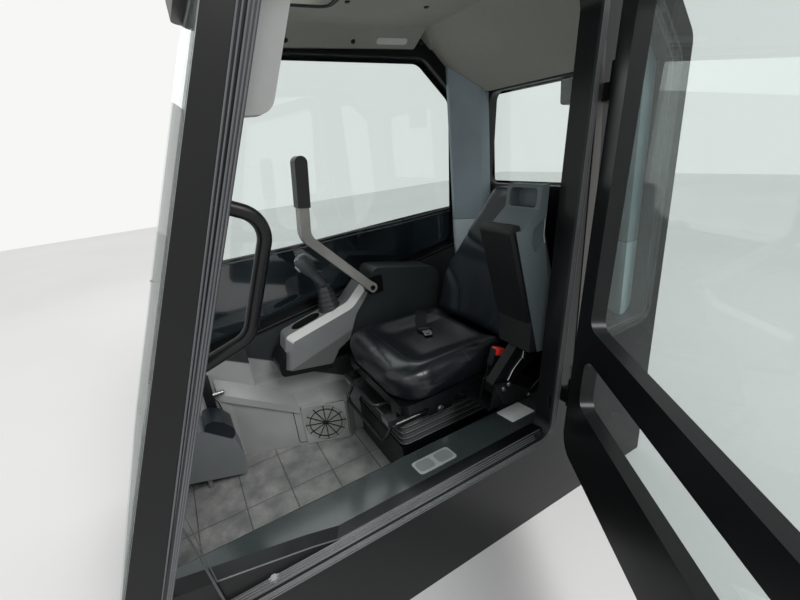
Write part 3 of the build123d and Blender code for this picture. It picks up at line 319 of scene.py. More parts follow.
def bar_finish():
    """Light grey restraint bar with a black underside."""
    tree = Tree("bar_grey")
    x, y, z = tree.split(tree.place())
    ahead, above = y - bar_pivot_y / 1000, z - bar_pivot_z / 1000
    under = 1 - tree.smooth(ahead * 0.7272 + above * 0.6864, -0.0164, -0.0156)
    soft = tree.soft(6.0)
    top = tree.mix(soft, "#7d7b78", "#8d8b88")
    return tree.finish({"Base Color": tree.mix(under, top, "#141517"),
                          "Roughness": tree.smooth(soft, 0, 1, 0.38, 0.46)})


bar_grey = bar_finish()


clear_tint = (0.86, 0.9, 0.89, 1.0)


def glazed(tree, through):
    """Thin glass over a shader for what shows through it: it reflects more at a slant."""
    gloss = tree.node("ShaderNodeBsdfGlossy", {"Color": (1, 1, 1, 1), "Roughness": 0.02})
    facing = tree.node("ShaderNodeLayerWeight", {"Blend": 0.25}, output="Facing")
    share = facing * facing * 0.4 + 0.04
    return tree.shown(tree.node("ShaderNodeMixShader", {0: share, 1: through, 2: gloss}))


def clear_finish():
    tree = Tree("clear_glass")
    return glazed(tree, tree.node("ShaderNodeBsdfTransparent", {"Color": clear_tint}))


def smoked_finish():
    """The right window: clear above, and smoked below a line that rises a little to the rear."""
    tree = Tree("masked_glass")
    x, y, z = tree.split(tree.place())
    line = tree.smooth(y, -0.345, 0.9, 0.812, 0.856)
    low = 1 - tree.smooth(z - line, -0.002, 0.002)
    clear = tree.node("ShaderNodeBsdfTransparent", {"Color": clear_tint})
    cloud = tree.smooth(tree.noise(tree.place(), 3.0, 2.0), 0.3, 0.7)
    dark = tree.mix(cloud, "#151b1e", "#283136")
    smoked = tree.node("ShaderNodeBsdfPrincipled", {"Base Color": dark, "Roughness": 0.08})
    return glazed(tree, tree.node("ShaderNodeMixShader", {0: low, 1: clear, 2: smoked}))


clear_glass = clear_finish()
smoked_glass = smoked_finish()

looks = {
    frame_black: "base_frame side_frame_left side_frame_right front_header rear_wall seat_riser seat_pan "
                 "pod_arm bar_hinge door_frame hinge_brackets hinge_straps grab_handle",
    floor_black: "floor_pan",
    sill_black: "sill_step",
    black_plastic: "front_wall roof_cap belt_buckle belt_reel pod_tray_right pod_tray_left "
                   "stick_grip_right stick_grip_left door_handle front_lamps rear_lamp",
    smoked_glass: "right_glass",
    clear_glass: "quarter_glass rear_glass windscreen roof_glass door_glass_upper door_glass_lower",
    lining_grey: "roof_lining",
    post_blue_grey: "corner_trim_right corner_trim_left",
    wall_grey: "side_trim",
    mat_rubber: "floor_mat",
    rubber_black: "seat_bellows bar_pad door_seal",
    zinc: "slide_rails",
    seat_vinyl: "seat_cushion",
    back_vinyl: "back_cushion",
    shell_black: "back_shell",
    orange_knob: "lumbar_knob",
    pod_grey: "pod_body_right",
    raised_pod_grey: "pod_body_left",
    boot_rubber: "stick_boot_right stick_boot_left",
    armrest_grey: "armrest_box",
    bar_grey: "restraint_bar",
    post_grey: "post_panel",
    pedal_grey: "pedal_box",
    cap_blue: "pedal_cap",
    grille_grey: "kick_grille",
    bar_black: "slide_lever suspension_bar",
}
look_of = {node_name: look for look, names in looks.items() for node_name in names.split()}
for node_name, node_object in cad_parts.items():
    node_object.data.materials.clear()
    node_object.data.materials.append(look_of[node_name])


# Making pieces. Sizes and places are written in millimetres and turned into metres as a mesh is made.
def keep(name, mesh, material, body="cab", sharp=35):
    """A finished piece with its place in its mesh, riding a body of the frame."""
    made = bpy.data.objects.new(name, mesh)
    scene.collection.objects.link(made)
    if material is not None:
        mesh.materials.clear()
        mesh.materials.append(material)
    mesh.shade_smooth()
    mesh.set_sharp_from_angle(angle=radians(sharp))
    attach(made, body)
    return made


def mesh_from(bm, name):
    bmesh.ops.recalc_face_normals(bm, faces=bm.faces)
    mesh = bpy.data.meshes.new(name)
    bm.to_mesh(mesh)
    bm.free()
    return mesh


def add_body(bm, rows):
    """Adds a closed body through rows of as many points each, and returns its faces."""
    rows = [[bm.verts.new(Vector(p) / 1000) for p in row] for row in rows]
    faces = [bm.faces.new(rows[0][::-1]), bm.faces.new(rows[-1])]
    for low, high in zip(rows, rows[1:]):
        for at in range(len(low)):
            after = (at + 1) % len(low)
            faces.append(bm.faces.new((low[at], low[after], high[after], high[at])))
    return faces


def add_prism(bm, points, plane, depth, bevel=0.0, segments=2):
    """Adds an outline made deep along its plane's normal. A plane is an origin and its across and up."""
    origin, across, upward = Vector(plane[0]), Vector(plane[1]).normalized(), Vector(plane[2]).normalized()
    rows = [[origin + across * u + upward * v + across.cross(upward) * out for u, v in points]
            for out in (0, depth)]
    faces = add_body(bm, rows)
    if bevel:
        edges = {edge for face in faces for edge in face.edges}
        bmesh.ops.bevel(bm, geom=list(edges), offset=bevel / 1000, segments=segments, profile=0.5,
                        affect="EDGES", clamp_overlap=True)


def rounded(points, radius, steps=5):
    """An outline with its corners rounded. The radius is one number, or one for each corner."""
    radii = radius if hasattr(radius, "__len__") else [radius] * len(points)
    turned = []
    for at, corner in enumerate(points):
        corner = Vector(corner)
        before = Vector(points[at - 1]) - corner
        after = Vector(points[(at + 1) % len(points)]) - corner
        half = before.angle(after) / 2
        reach = radii[at] / max(0.05, sin(half) / max(cos(half), 0.01))
        reach = min(reach, before.length / 2.01, after.length / 2.01)
        if reach < 0.01:
            turned.append(tuple(corner))
            continue
        start, end = corner + before.normalized() * reach, corner + after.normalized() * reach
        for part in range(steps + 1):
            share = part / steps
            near = start.lerp(corner, share).lerp(corner.lerp(end, share), share)
            turned.append(tuple(near))
    return turned


def box_points(width, height):
    return [(width * u, height * v) for u, v in ((-0.5, -0.5), (0.5, -0.5), (0.5, 0.5), (-0.5, 0.5))]


def facing_left(x, y=0, z=0):
    """A plane seen from the machine's left: Y across, Z up."""
    return (x, y, z), to_rear, to_top


def prism(name, points, plane, depth, material, body="cab", bevel=0.0, segments=2):
    """A piece of its own: one prism."""
    bm = bmesh.new()
    add_prism(bm, points, plane, depth, bevel, segments)
    return keep(name, mesh_from(bm, name), material, body)


def plate(name, plane, width, height, corner, thick, material, body="cab", bevel=0.0, segments=2, steps=5):
    """A piece of its own: a box with rounded corners about a plane's origin."""
    outline = rounded(box_points(width, height), corner, steps)
    return prism(name, outline, plane, thick, material, body, bevel, segments)


def evaluated(piece):
    """The mesh of an object with its modifiers applied, as plain mesh data."""
    return bpy.data.meshes.new_from_object(piece.evaluated_get(bpy.context.evaluated_depsgraph_get()))


# Geometry Nodes: a tube along a path, and fasteners set on points
class Group(Tree):
    """A Geometry Nodes group that makes a piece's mesh from a plain one, with values that each piece sets."""

    def __init__(self, name, **kinds):
        self.tree = bpy.data.node_groups.new(name, "GeometryNodeTree")
        for label, kind in (("geometry", "Geometry"), *kinds.items(), ("material", "Material")):
            self.tree.interface.new_socket(label, in_out="INPUT", socket_type="NodeSocket" + kind)
        self.tree.interface.new_socket("geometry", in_out="OUTPUT", socket_type="NodeSocketGeometry")
        start = self.tree.nodes.new("NodeGroupInput")
        self.given = {socket.name: Value(self, socket) for socket in start.outputs}

    def end(self, geometry):
        real = self.node("GeometryNodeRealizeInstances", {"Geometry": geometry})
        done = self.node("GeometryNodeSetMaterial", {"Geometry": real, "Material": self.given["material"]})
        self.node("NodeGroupOutput", {0: done})

    def run(self, mesh, **values):
        """The mesh that the group makes of a mesh, as plain mesh data."""
        holder = bpy.data.objects.new("holder", mesh)
        scene.collection.objects.link(holder)
        modifier = holder.modifiers.new("nodes", "NODES")
        modifier.node_group = self.tree
        for item in self.tree.interface.items_tree:
            if item.in_out == "INPUT" and item.name in values:
                modifier[item.identifier] = values[item.name]
        bpy.context.view_layer.update()
        made = evaluated(holder)
        bpy.data.objects.remove(holder)
        return made


tube_group = Group("tube_along", radius="Float", sides="Int", bend="Float")
tube_given = tube_group.given
tube_line = tube_group.node("GeometryNodeMeshToCurve", {"Mesh": tube_given["geometry"]})
tube_bend = tube_group.node("GeometryNodeFilletCurve", {
    "Curve": tube_line, "Radius": tube_given["bend"], "Count": 6, "Limit Radius": True}, mode="POLY")
tube_ring = tube_group.node("GeometryNodeCurvePrimitiveCircle", {
    "Resolution": tube_given["sides"], "Radius": tube_given["radius"]})
tube_group.end(tube_group.node("GeometryNodeCurveToMesh", {
    "Curve": tube_bend, "Profile Curve": tube_ring, "Fill Caps": True}))


def tubes(name, paths, radius, material, body="cab", bend=0.0, sides=8):
    """Round tubes along paths, all one piece. A path is a list of points, closed if its last is None."""
    verts, edges = [], []
    for path in paths:
        closed = path[-1] is None
        points = [Vector(p) / 1000 for p in (path[:-1] if closed else path)]
        first = len(verts)
        verts += points
        edges += [(first + at, first + at + 1) for at in range(len(points) - 1)]
        if closed:
            edges.append((len(verts) - 1, first))
    line = bpy.data.meshes.new(name + "_line")
    line.from_pydata(verts, edges, [])
    mesh = tube_group.run(line, radius=radius / 1000, sides=sides, bend=bend / 1000, material=material)
    return keep(name, mesh, None, body, 60)


bolt_group = Group("fasteners", radius="Float", height="Float", corners="Int", washer="Float")
bolt_given = bolt_group.given
bolt_head = bolt_group.node("GeometryNodeMeshCylinder", {
    "Vertices": bolt_given["corners"], "Radius": bolt_given["radius"], "Depth": bolt_given["height"]},
    fill_type="NGON")
bolt_ring = bolt_group.node("GeometryNodeMeshCylinder", {
    "Vertices": 24, "Radius": bolt_given["washer"], "Depth": 0.0016}, fill_type="NGON")
bolt_lift = bolt_group.node("GeometryNodeTransform", {"Geometry": bolt_head, "Translation": (0, 0, 0.002)})
bolt_both = bolt_group.node("GeometryNodeJoinGeometry", {0: [bolt_lift, bolt_ring]})
bolt_facing = bolt_group.node("GeometryNodeInputNamedAttribute", {"Name": "facing"}, "Attribute",
                              data_type="FLOAT_VECTOR")
bolt_turn = bolt_group.node("FunctionNodeAlignEulerToVector", {"Vector": bolt_facing}, axis="Z")
bolt_group.end(bolt_group.node("GeometryNodeInstanceOnPoints", {
    "Points": bolt_given["geometry"], "Instance": bolt_both, "Rotation": bolt_turn}))


def bolts(name, places, radius, height, material, body="cab", corners=6, washer=None):
    """Bolt heads at (point, facing) places, all one piece."""
    points = bpy.data.meshes.new(name + "_points")
    points.from_pydata([Vector(p) / 1000 for p, facing in places], [], [])
    facing_data = points.attributes.new("facing", "FLOAT_VECTOR", "POINT")
    facing_data.data.foreach_set("vector", [c for p, facing in places for c in Vector(facing).normalized()])
    mesh = bolt_group.run(points, radius=radius / 1000, height=height / 1000, corners=corners,
                          washer=(washer or radius * 1.45) / 1000, material=material)
    return keep(name, mesh, None, body, 30)


# The doorway's raked edges, as in the frame: Y at a height
def a_edge(z):
    return -662 + (z - 310) * 0.38587


def b_edge(z):
    return 369 + (z - 310) * 0.1051


# Seat: stuffed cushions that swell a little between their seams
def stuffed(node, name, shape, pinned, cover, voxel=6.0, cap=5.0):
    """A padded piece from a CAD block: remeshed, shaped, then blown up a little by cloth pressure."""
    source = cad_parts[node]
    bm = bmesh.new()
    bm.from_mesh(source.data)
    bmesh.ops.remove_doubles(bm, verts=bm.verts, dist=0.00002)
    mesh = mesh_from(bm, name)
    pad = bpy.data.objects.new(name, mesh)
    scene.collection.objects.link(pad)
    remesh = pad.modifiers.new("remesh", "REMESH")
    remesh.mode = "VOXEL"
    remesh.voxel_size = voxel / 1000
    relax = pad.modifiers.new("relax", "SMOOTH")
    relax.iterations = 4
    mesh = evaluated(pad)
    pad.modifiers.clear()
    pad.data = mesh
    for vertex in mesh.vertices:
        vertex.co = shape(vertex.co * 1000) / 1000
    group = pad.vertex_groups.new(name="held")
    group.add([v.index for v in mesh.vertices if pinned(v.co * 1000)], 1.0, "REPLACE")
    rest = [v.co.copy() for v in mesh.vertices]
    cloth = pad.modifiers.new("cloth", "CLOTH")
    settings = cloth.settings
    settings.use_pressure = True
    settings.uniform_pressure_force = 3.0
    settings.effector_weights.gravity = 0.0
    settings.vertex_group_mass = "held"
    settings.quality = 5
    cloth.collision_settings.use_collision = False
    last_frame = 20
    cloth.point_cache.frame_start = 1
    cloth.point_cache.frame_end = last_frame
    for now in range(1, last_frame + 1):
        scene.frame_set(now)
    blown = evaluated(pad)
    pad.modifiers.clear()
    scene.frame_set(1)
    for vertex, start in zip(blown.vertices, rest):
        move = vertex.co - start
        if move.length > cap / 1000:
            move = move.normalized() * cap / 1000
        vertex.co = start + move
    pad.data = blown
    settle = pad.modifiers.new("settle", "SMOOTH")
    settle.iterations = 16
    smooth = pad.modifiers.new("finer", "SUBSURF")
    smooth.levels = smooth.render_levels = 1
    mesh = evaluated(pad)
    pad.modifiers.clear()
    pad.vertex_groups.clear()
    pad.data = mesh
    mesh.materials.clear()
    mesh.materials.append(cover)
    mesh.shade_smooth()
    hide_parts(node)
    return pad


def ease(value, low, high):
    share = min(1.0, max(0.0, (value - low) / (high - low)))
    return share * share * (3 - 2 * share)


def seat_shape(p):
    """Dishes the seat's top between its front roll and side rolls, and tucks its sides in low down."""
    x, y, z = p
    top = ease(z, 455, 500)
    hollow = (1 - ease(abs(x), 95, 195)) * ease(y, 60, 175) * (1 - 0.35 * ease(y, 330, 470))
    seam_roll = ease(abs(x), 165, 190) * (1 - ease(abs(x), 190, 215)) * ease(y, 60, 140)
    z -= top * (26 * hollow - 2 * seam_roll)
    tuck = 1 - 0.035 * (1 - ease(z, 405, 450))
    front = 1 - ease(z, 405, 470)
    return Vector((x * tuck, y + 16 * front * (1 - ease(y, 0, 120)), z))


seat_pad = stuffed("seat_cushion", "seat_pad", seat_shape, lambda p: p.z < 425 or p.y > 425, seat_vinyl)
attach(seat_pad, "seat")

lean_sin, lean_cos = sin(recline), cos(recline)


def on_back(x, along, out=0.0):
    """A point of the backrest: its x, how far up the backrest and how far in front of its base plane."""
    return back_foot + Vector((x, along * lean_sin - out * lean_cos, along * lean_cos + out * lean_sin))


def back_place(p):
    """The distance up the backrest and in front of its base plane of a point."""
    dy, dz = p.y - back_foot.y, p.z - back_foot.z
    return dy * lean_sin + dz * lean_cos, -dy * lean_cos + dz * lean_sin


def seam_x(along):
    """How far from the middle the side roll's seam is, a distance up the backrest."""
    stops = ((-60, 84), (61, 108), (123, 130), (165, 172), (205, 243), (260, 330))
    for (low, x_low), (high, x_high) in zip(stops, stops[1:]):
        if along <= high:
            return x_low + (x_high - x_low) * max(0.0, (along - low) / (high - low))
    return stops[-1][1]


def upper_seam(x):
    """How far up the backrest the upper panel's seam is, at x."""
    return 296 + 47 * min(1.0, (abs(x) / 172) ** 1.6)


def groove(distance, width=5.0):
    return exp(-(distance / width) ** 2)


def back_shape(p):
    """Side rolls that stand forward, a shallow hollow between them and an upper panel above its own seam."""
    along, out = back_place(p)
    front = ease(out, -55, -15)
    edge = seam_x(along)
    side_roll = ease(abs(p.x), edge, edge + 45) * (1 - ease(along, 200, 260))
    hollow = (1 - ease(abs(p.x), 40, edge)) * (1 - ease(along, 240, 300))
    panel = ease(along, upper_seam(p.x), upper_seam(p.x) + 30)
    sunk = groove(abs(p.x) - edge) * (1 - ease(along, 200, 230)) + groove(along - upper_seam(p.x))
    shift = front * (9 * side_roll - 9 * hollow + 5 * panel - 4.5 * min(1.0, sunk))
    waist = 1 + 0.022 * ease(along, 60, 160) * (1 - ease(along, 200, 300))
    return on_back(p.x * waist, along, out + shift)


back_pad = stuffed("back_cushion", "back_pad", back_shape, lambda p: back_place(p)[1] < -70, back_vinyl,
                   cap=4.0)
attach(back_pad, "backrest")


def laid_on(piece, points, direction, lift=0.0):
    """Points moved along a direction until they lie on a piece's surface."""
    rays = BVHTree.FromObject(piece, bpy.context.evaluated_depsgraph_get())
    direction = Vector(direction)
    found = []
    for p in points:
        place = rays.ray_cast((Vector(p) - direction * 90) / 1000, direction)[0]
        if place is not None:
            found.append(place * 1000 - direction * lift)
    return found


thread = finish_of("thread", "#08090a", 0.5)
back_in = Vector((0, lean_cos, -lean_sin))
back_seams = []
for hand in (-1, 1):
    side_seam = [on_back(hand * seam_x(along), along) for along in range(8, 196, 9)]
    back_seams.append(laid_on(back_pad, side_seam, back_in, -0.6))
panel_seam = [on_back(x, upper_seam(x)) for x in range(-158, 159, 12)]
back_seams.append(laid_on(back_pad, panel_seam, back_in, -0.6))
tubes("back_seams", back_seams, 1.5, thread, "backrest")

seat_seams = []
seat_round = rounded([(-172, 96), (172, 96), (172, 452), (-172, 452)], (60, 60, 10, 10), 8)
seat_seams.append(laid_on(seat_pad, [(x, y, 500) for x, y in seat_round if y < 430], to_foot, -0.6))
for hand in (-1, 1):
    for y in (92, 268):
        inner, outer = hand * 172, hand * 238
        across = [(inner + (outer - inner) * share / 9, y + 10 * share / 9, 500) for share in range(9)]
        seat_seams.append(laid_on(seat_pad, across, to_foot, -0.6))
tubes("seat_seams", seat_seams, 1.4, thread, "seat")

# Ribbed rubber round the doorway, its paler tone a painted sheen
# This rubber is paler than black rubber; the extra lightness is painted sheen wherever it is used
rubber_painted_sheen = finish_of("rubber_painted_sheen", "#4d4f52", 0.26)
seal_paths = []
for reach, rib_x in ((2.6, 466.6), (7.5, 466.6), (12.4, 466.6), (18.4, 462.0), (24.4, 462.0)):
    low, high = doorway_foot - reach, doorway_top + reach
    corners = [(a_edge(doorway_foot) - reach, low), (a_edge(doorway_top) - reach, high),
               (b_edge(doorway_top) + reach, high), (b_edge(doorway_foot) + reach, low)]
    ring = rounded(corners, (30 + reach, 70 + reach, 60 + reach, 45 + reach), 8)
    seal_paths.append([(rib_x, y, z) for y, z in ring] + [None])
tubes("seal_ribs", seal_paths, 2.1, rubber_painted_sheen)

# Black border printed round the glass, and rubber beads along the frame's inner edges
frit_black = finish_of("frit_black", "#08090a", 0.25)


def border(name, ring, low, high, plane, thickness=0.5):
    """A flat black ring on a pane, between an outline moved inwards by two amounts."""
    bm = bmesh.new()
    origin, across, upward = (Vector(v) for v in plane)
    rows = []
    for depth in (0, thickness):
        for amount in (low, high):
            base = origin + across.cross(upward) * depth
            line = [base + across * u + upward * v for u, v in inset(ring, amount)]
            rows.append([bm.verts.new(p / 1000) for p in line])
    for at in range(len(ring)):
        after = (at + 1) % len(ring)
        for first, second in ((0, 1), (3, 2), (2, 0), (1, 3)):
            bm.faces.new((rows[first][at], rows[first][after], rows[second][after], rows[second][at]))
    keep(name, mesh_from(bm, name), frit_black)


def inset(points, amount):
    """An outline moved inwards, corner by corner. The points run anticlockwise or clockwise."""
    area = sum(a[0] * b[1] - b[0] * a[1] for a, b in zip(points, points[1:] + points[:1]))
    turn = 1 if area > 0 else -1
    moved = []
    for at, p in enumerate(points):
        before = (Vector(p) - Vector(points[at - 1])).normalized()
        after = (Vector(points[(at + 1) % len(points)]) - Vector(p)).normalized()
        n1, n2 = Vector((-before.y, before.x)) * turn, Vector((-after.y, after.x)) * turn
        middle = (n1 + n2).normalized()
        moved.append(tuple(Vector(p) + middle * amount / max(0.3, middle.dot(n1))))
    return moved


right_corners = [(a_edge(468), 468), (a_edge(1484), 1484), (590, 1462), (748, 1305), (715, 690)]
right_ring = rounded(right_corners, (60, 70, 80, 80, 70), 8)
border("right_frit", right_ring, -8, 16, facing_left(-454.4))
quarter_corners = [(595, 560), (595, 1405), (690, 1405), (802, 1290), (802, 560)]
quarter_ring = rounded(quarter_corners, (40, 40, 50, 50, 40), 6)
border("quarter_frit", quarter_ring, -6, 12, facing_left(454.0), 0.4)
tubes("window_beads", [[(-404.6, y, z) for y, z in inset(right_ring, 2)] + [None]], 3.2, rubber_black)

# Bare plates on the sill
plate_silver = finish_of("plate_silver", "#b4b7b8", 0.35, metallic=0.3)
plate_white = finish_of("plate_white", "#e3e5e6", 0.4)
plate_cell = finish_of("plate_cell", "#8d9193", 0.4, metallic=0.3)


def on_sill(x, y, lift):
    """A plane on the sill's sloping top inside the doorway."""
    return (x, y, 296.4 + (x - 275) * 16 / 129.7 + lift), (129.7, 0, 16), to_rear


plate("plate_front", on_sill(355, 28, 0.1), 60, 124, 12, 1.0, plate_silver, bevel=0.3, segments=1)
for cell, y in (("a", -3), ("b", 59)):
    plate("plate_cell_" + cell, on_sill(355, y, 1.0), 46, 50, 14, 0.5, plate_cell, bevel=0.15, segments=1)
plate("plate_rear", on_sill(327, 367, 0.1), 76, 96, 5, 1.0, plate_white, bevel=0.3, segments=1)

# Fasteners of the frame, and plugs in the roof lining
frame_places = [((446.5, -450, 314.2), (0.64, 0, 0.77)), ((door_post_x, 474, 352), to_left),
                ((door_post_x, 488, 268), to_left)]
bolts("frame_bolts", frame_places, 7.5, 5, dull_steel)
cove_plugs = [((hand * 373, y, 1504.5), (-hand * 0.683, 0, -0.73)) for hand in (-1, 1) for y in (30, 273, 560)]
roof_plugs = [((x, y, 1544.8), to_foot)
              for x, y in ((-120, 150), (120, 150), (-120, 420), (120, 420), (0, 520))]
bolts("lining_plugs", cove_plugs + roof_plugs, 7, 3, black_plastic, corners=20, washer=8.5)

# Slot lamp in the lining's right cove
lamp_white = finish_of("lamp_white", "#c9cac6", 0.4)
cove_slope = (-0.73, 0, -0.683)
plate("lamp_surround", ((-370.5, 430, 1507.2), to_rear, cove_slope), 196, 40, 19, 2.4, black_plastic,
      bevel=1.0)
plate("lamp_lens", ((-369.3, 430, 1505.7), to_rear, cove_slope), 128, 24, 11, 2.0, lamp_white, bevel=0.8)

# Rubber frame of the roof hatch: two beads round the opening
hatch_ring = rounded([(-160, -190), (160, -190), (160, 102), (-160, 102)], 25, 6)
hatch_paths = [[(x, y, z) for x, y in inset(hatch_ring, gap)] + [None]
               for gap, z in ((-5, 1543.6), (-14, 1543.9))]
tubes("hatch_beads", hatch_paths, 3.6, rubber_black)

# Buckle: red push button across its upper end
red_end = rounded([(345.5, 519.5), (384, 503), (376, 482), (338, 498)], 4)
prism("buckle_button", red_end, facing_left(245.5), 23, red_button, "seat", bevel=1.6)

# Kick panel: bright backing behind the web of its service cover
backing_light = finish_of("backing_light", "#8f8f8d", 0.5)
panel_run = Vector((93, 237, 0))
panel_out = Vector((237, -93, 0)).normalized()


def on_panel(share, z):
    """A point just in front of the kick panel: a share of the way along it, at a height."""
    return Vector((-256, -275, z)) + panel_run * share + panel_out * 0.6


plate("grille_backing", (on_panel(0.65, 166), panel_run, to_top), 152, 152, 75, 1.4, backing_light, steps=10)


# Both control pods: the left one stands raised about its pin
def lifted(p):
    """A point of the lowered left pod as it stands raised."""
    turn, ahead, above = radians(pod_raise), p.y - pod_pivot_y, p.z - pod_pivot_z
    return Vector((p.x, pod_pivot_y + cos(turn) * ahead + sin(turn) * above,
                   pod_pivot_z - sin(turn) * ahead + cos(turn) * above))


pods = (("right", right_pod_x, "seat", Vector), ("left", left_pod_x, "left_pod", lifted))


# Control sticks: each grip is one form that swells into a rounded head, with thumb buttons and a trigger
def add_rings(bm, place, rings, count=32):
    """Adds a closed body through rings: (distance along, shift ahead, half width, half depth)."""
    base, side, ahead, axis = (Vector(v) for v in place)
    turns = [radians(360 * at / count) for at in range(count)]
    add_body(bm, [[base + axis * along + side * half_x * cos(turn) + ahead * (shift + half_y * sin(turn))
                   for turn in turns] for along, shift, half_x, half_y in rings])


button_grey = finish_of("button_grey", "#9ea2a3", 0.3)
grip_grey = finish_of("grip_grey", "#45484a", 0.42, grain=1200.0, depth=0.0002, worn=0.08)
grip_rings = ((0, 0, 15, 15), (3, 0, 16.5, 16.5), (30, 0, 17, 17.5), (54, 0, 18, 19), (66, 0, 20, 22),
              (76, 1, 24, 26.5), (88, 2, 27, 29.6), (104, 2, 28, 31), (122, 2, 28, 31), (134, 2, 26, 29),
              (141, 2, 21, 24), (144.8, 2, 14, 17), (145.8, 2, 6, 8))
stick_axis = Vector((0, -sin(stick_lean), cos(stick_lean)))
for hand, x, body, stand in pods:
    foot = Vector((x, stick_foot_y, stick_foot_z))
    start, side = stand(foot), Vector(to_left)
    up = (stand(foot + stick_axis * 100) - start).normalized()
    ahead = up.cross(side)
    place = start, side, ahead, up
    grip = bmesh.new()
    add_rings(grip, place, grip_rings)
    grip_piece = keep("grip_" + hand, mesh_from(grip, "grip_" + hand), grip_grey, body, 60)
    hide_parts("stick_grip_" + hand)
    buttons = bmesh.new()
    for across, depth in ((-9.5, -7), (9.5, -7), (0, -16)):
        knob_place = (start + up * 139.0 + ahead * (2 + depth) + side * across, side, ahead, up)
        add_rings(buttons, knob_place, ((-6, 0, 6, 5), (4.6, 0, 6, 5), (6.2, 0, 4.4, 3.6)), 16)
    strip_place = (start + up * 112 + ahead * -25.5, side, up, -ahead)
    add_rings(buttons, strip_place, ((0, 0, 9, 15), (6.0, 0, 9, 15), (7.4, 0, 7.4, 13.2)), 20)
    keep("buttons_" + hand, mesh_from(buttons, "buttons_" + hand), button_grey, body, 40)
    trigger = bmesh.new()
    trigger_place = (start + up * 88 + ahead * 15, side, up, ahead)
    add_rings(trigger, trigger_place, ((0, 0, 6.5, 14), (6, 1, 6.5, 13), (11, 3, 5, 8), (12.4, 4, 2.5, 4)), 16)
    keep("trigger_" + hand, mesh_from(trigger, "trigger_" + hand), black_plastic, body, 40)


# Rounded edges of the sticks' rubber boots
for hand, x, body, stand in pods:
    boot_edges = []
    for at in range(5):
        lean, across = radians(14.9 - 3 * at), 41.6 - 3.2 * at
        foot = Vector((x, 8 - 1.5 * at, 581.4 + 18 * at))
        ahead = Vector((0, cos(lean), sin(lean)))
        ring = [foot + Vector((cos(a), 0, 0)) * across + ahead * across * sin(a)
                for a in (radians(12 * part) for part in range(30))]
        boot_edges.append([stand(p) for p in ring] + [None])
    tubes("boot_edges_" + hand, boot_edges, 2.4, boot_rubber, body)


def flat_plate(name, x, points, thick, material, body="cab", corner=0.0):
    """A flat plate that faces the machine's left, its corners rounded."""
    prism(name, rounded(points, corner), facing_left(x), thick, material, body, 0.4, 1)


# Doorway's rear post: paler strip, corner plate, and striker with its loop
flat_plate("post_strip", door_post_x + 0.2,
           [(503, 472), (512, 1092), (505, 1326), (493, 1320), (484, 1071), (463, 487)], 1.6, strip_grey)
flat_plate("corner_plate", 452.0, [(369, 402), (368, 434), (481, 342), (488, 263), (420, 262)], 3.0,
           frame_black)
striker = bmesh.new()
add_prism(striker, rounded(box_points(24, 74), 5), facing_left(door_post_x, 479, 459), 3.0, 0.6)
for z in (432, 486):
    stud_place = ((463, 479, z), to_rear, to_top, to_left)
    add_rings(striker, stud_place, ((0, 0, 8, 8), (12, 0, 8, 8), (13.4, 0, 6.6, 6.6)), 20)
keep("striker", mesh_from(striker, "striker"), zinc)
tubes("striker_loop", [[(472, 479, 436), (472, 479, 482)]], 5.0, zinc, sides=14)

# Seat's side: height bracket with its bolt, and the edges of the bellows
flat_plate("seat_side_plate", 210.5, [(105, 338), (200, 333), (204, 372), (188, 389), (112, 389)], 3.0,
           frame_black, "seat", 6)
bolts("seat_side_bolt", [((213.5, 152, 346), to_left)], 8.5, 6, zinc, "seat", washer=12)
# Bellows edges in the paler rubber: a painted sheen along their ridges
bellows_ring = rounded([(-177.8, 22.2), (177.8, 22.2), (177.8, 427.8), (-177.8, 427.8)], 26)
ridges = [[(x, y, 225 + 21.75 * (at + 0.5)) for x, y in bellows_ring] + [None] for at in range(4)]
tubes("bellows_edges", ridges, 2.0, rubber_painted_sheen)

# Left pod's mount: a corner plate on the seat's bracket, a link to the rear and a return wire on the arm
flat_plate("mount_plate", 342.2, [(268, 436), (311, 447), (412, 380), (400, 352), (300, 372)], 3.0,
           black_plastic, "seat", 4)
link_start, link_run, link_width = Vector((347, 404, 366)), Vector((0, 101, 62)), 15
link_plane = link_start + link_run / 2, (0, -link_run.z, link_run.y), link_run
plate("mount_link", link_plane, link_width, link_run.length + link_width, link_width * 0.49, 4.0, frame_black,
      "seat", 0.4, 1)
mount_places = [(349, 404, 366), (349, 500, 425), (345.2, 300, 428), (345.2, 322, 436)]
bolts("mount_bolts", [(place, to_left) for place in mount_places], 5.5, 5, zinc, "seat")
wire_line = [(331.5, y, z) for y, z in ((396, 520), (392, 500), (372, 486), (352, 470), (330, 440))]
tubes("return_wire", [wire_line], 2.0, zinc, "left_pod", bend=8)
bolts("arm_bolts", [((329.2, 399, 500), to_left), ((329.2, 428, 520), to_left)], 6.5, 6, zinc, "left_pod")

# Seat belt: webbing from the reel over the cushion's rear corner, with its tongue lying on the seat
webbing = finish_of("webbing", "#0e0f10", 0.75, grain=1500.0, depth=0.0006)


def seat_top(x, y, lowest=470.0):
    """Height of the seat cushion's top at a place."""
    found = laid_on(seat_pad, [(x, y, 500)], to_foot)
    return max(found[0].z, lowest) if found else lowest


def strap(name, path, width, thick, material, body):
    """A flat strap: its path gives the middle line, and it lies level across."""
    path = [Vector(p) for p in path]
    rows = []
    for at, point in enumerate(path):
        along = (path[min(at + 1, len(path) - 1)] - path[max(at - 1, 0)]).normalized()
        across = along.cross(Vector(to_top)).normalized() * width / 2
        up = across.cross(along).normalized() * thick
        rows.append((point - across, point + across, point + across + up, point - across + up))
    bm = bmesh.new()
    add_body(bm, rows)
    return keep(name, mesh_from(bm, name), material, body)


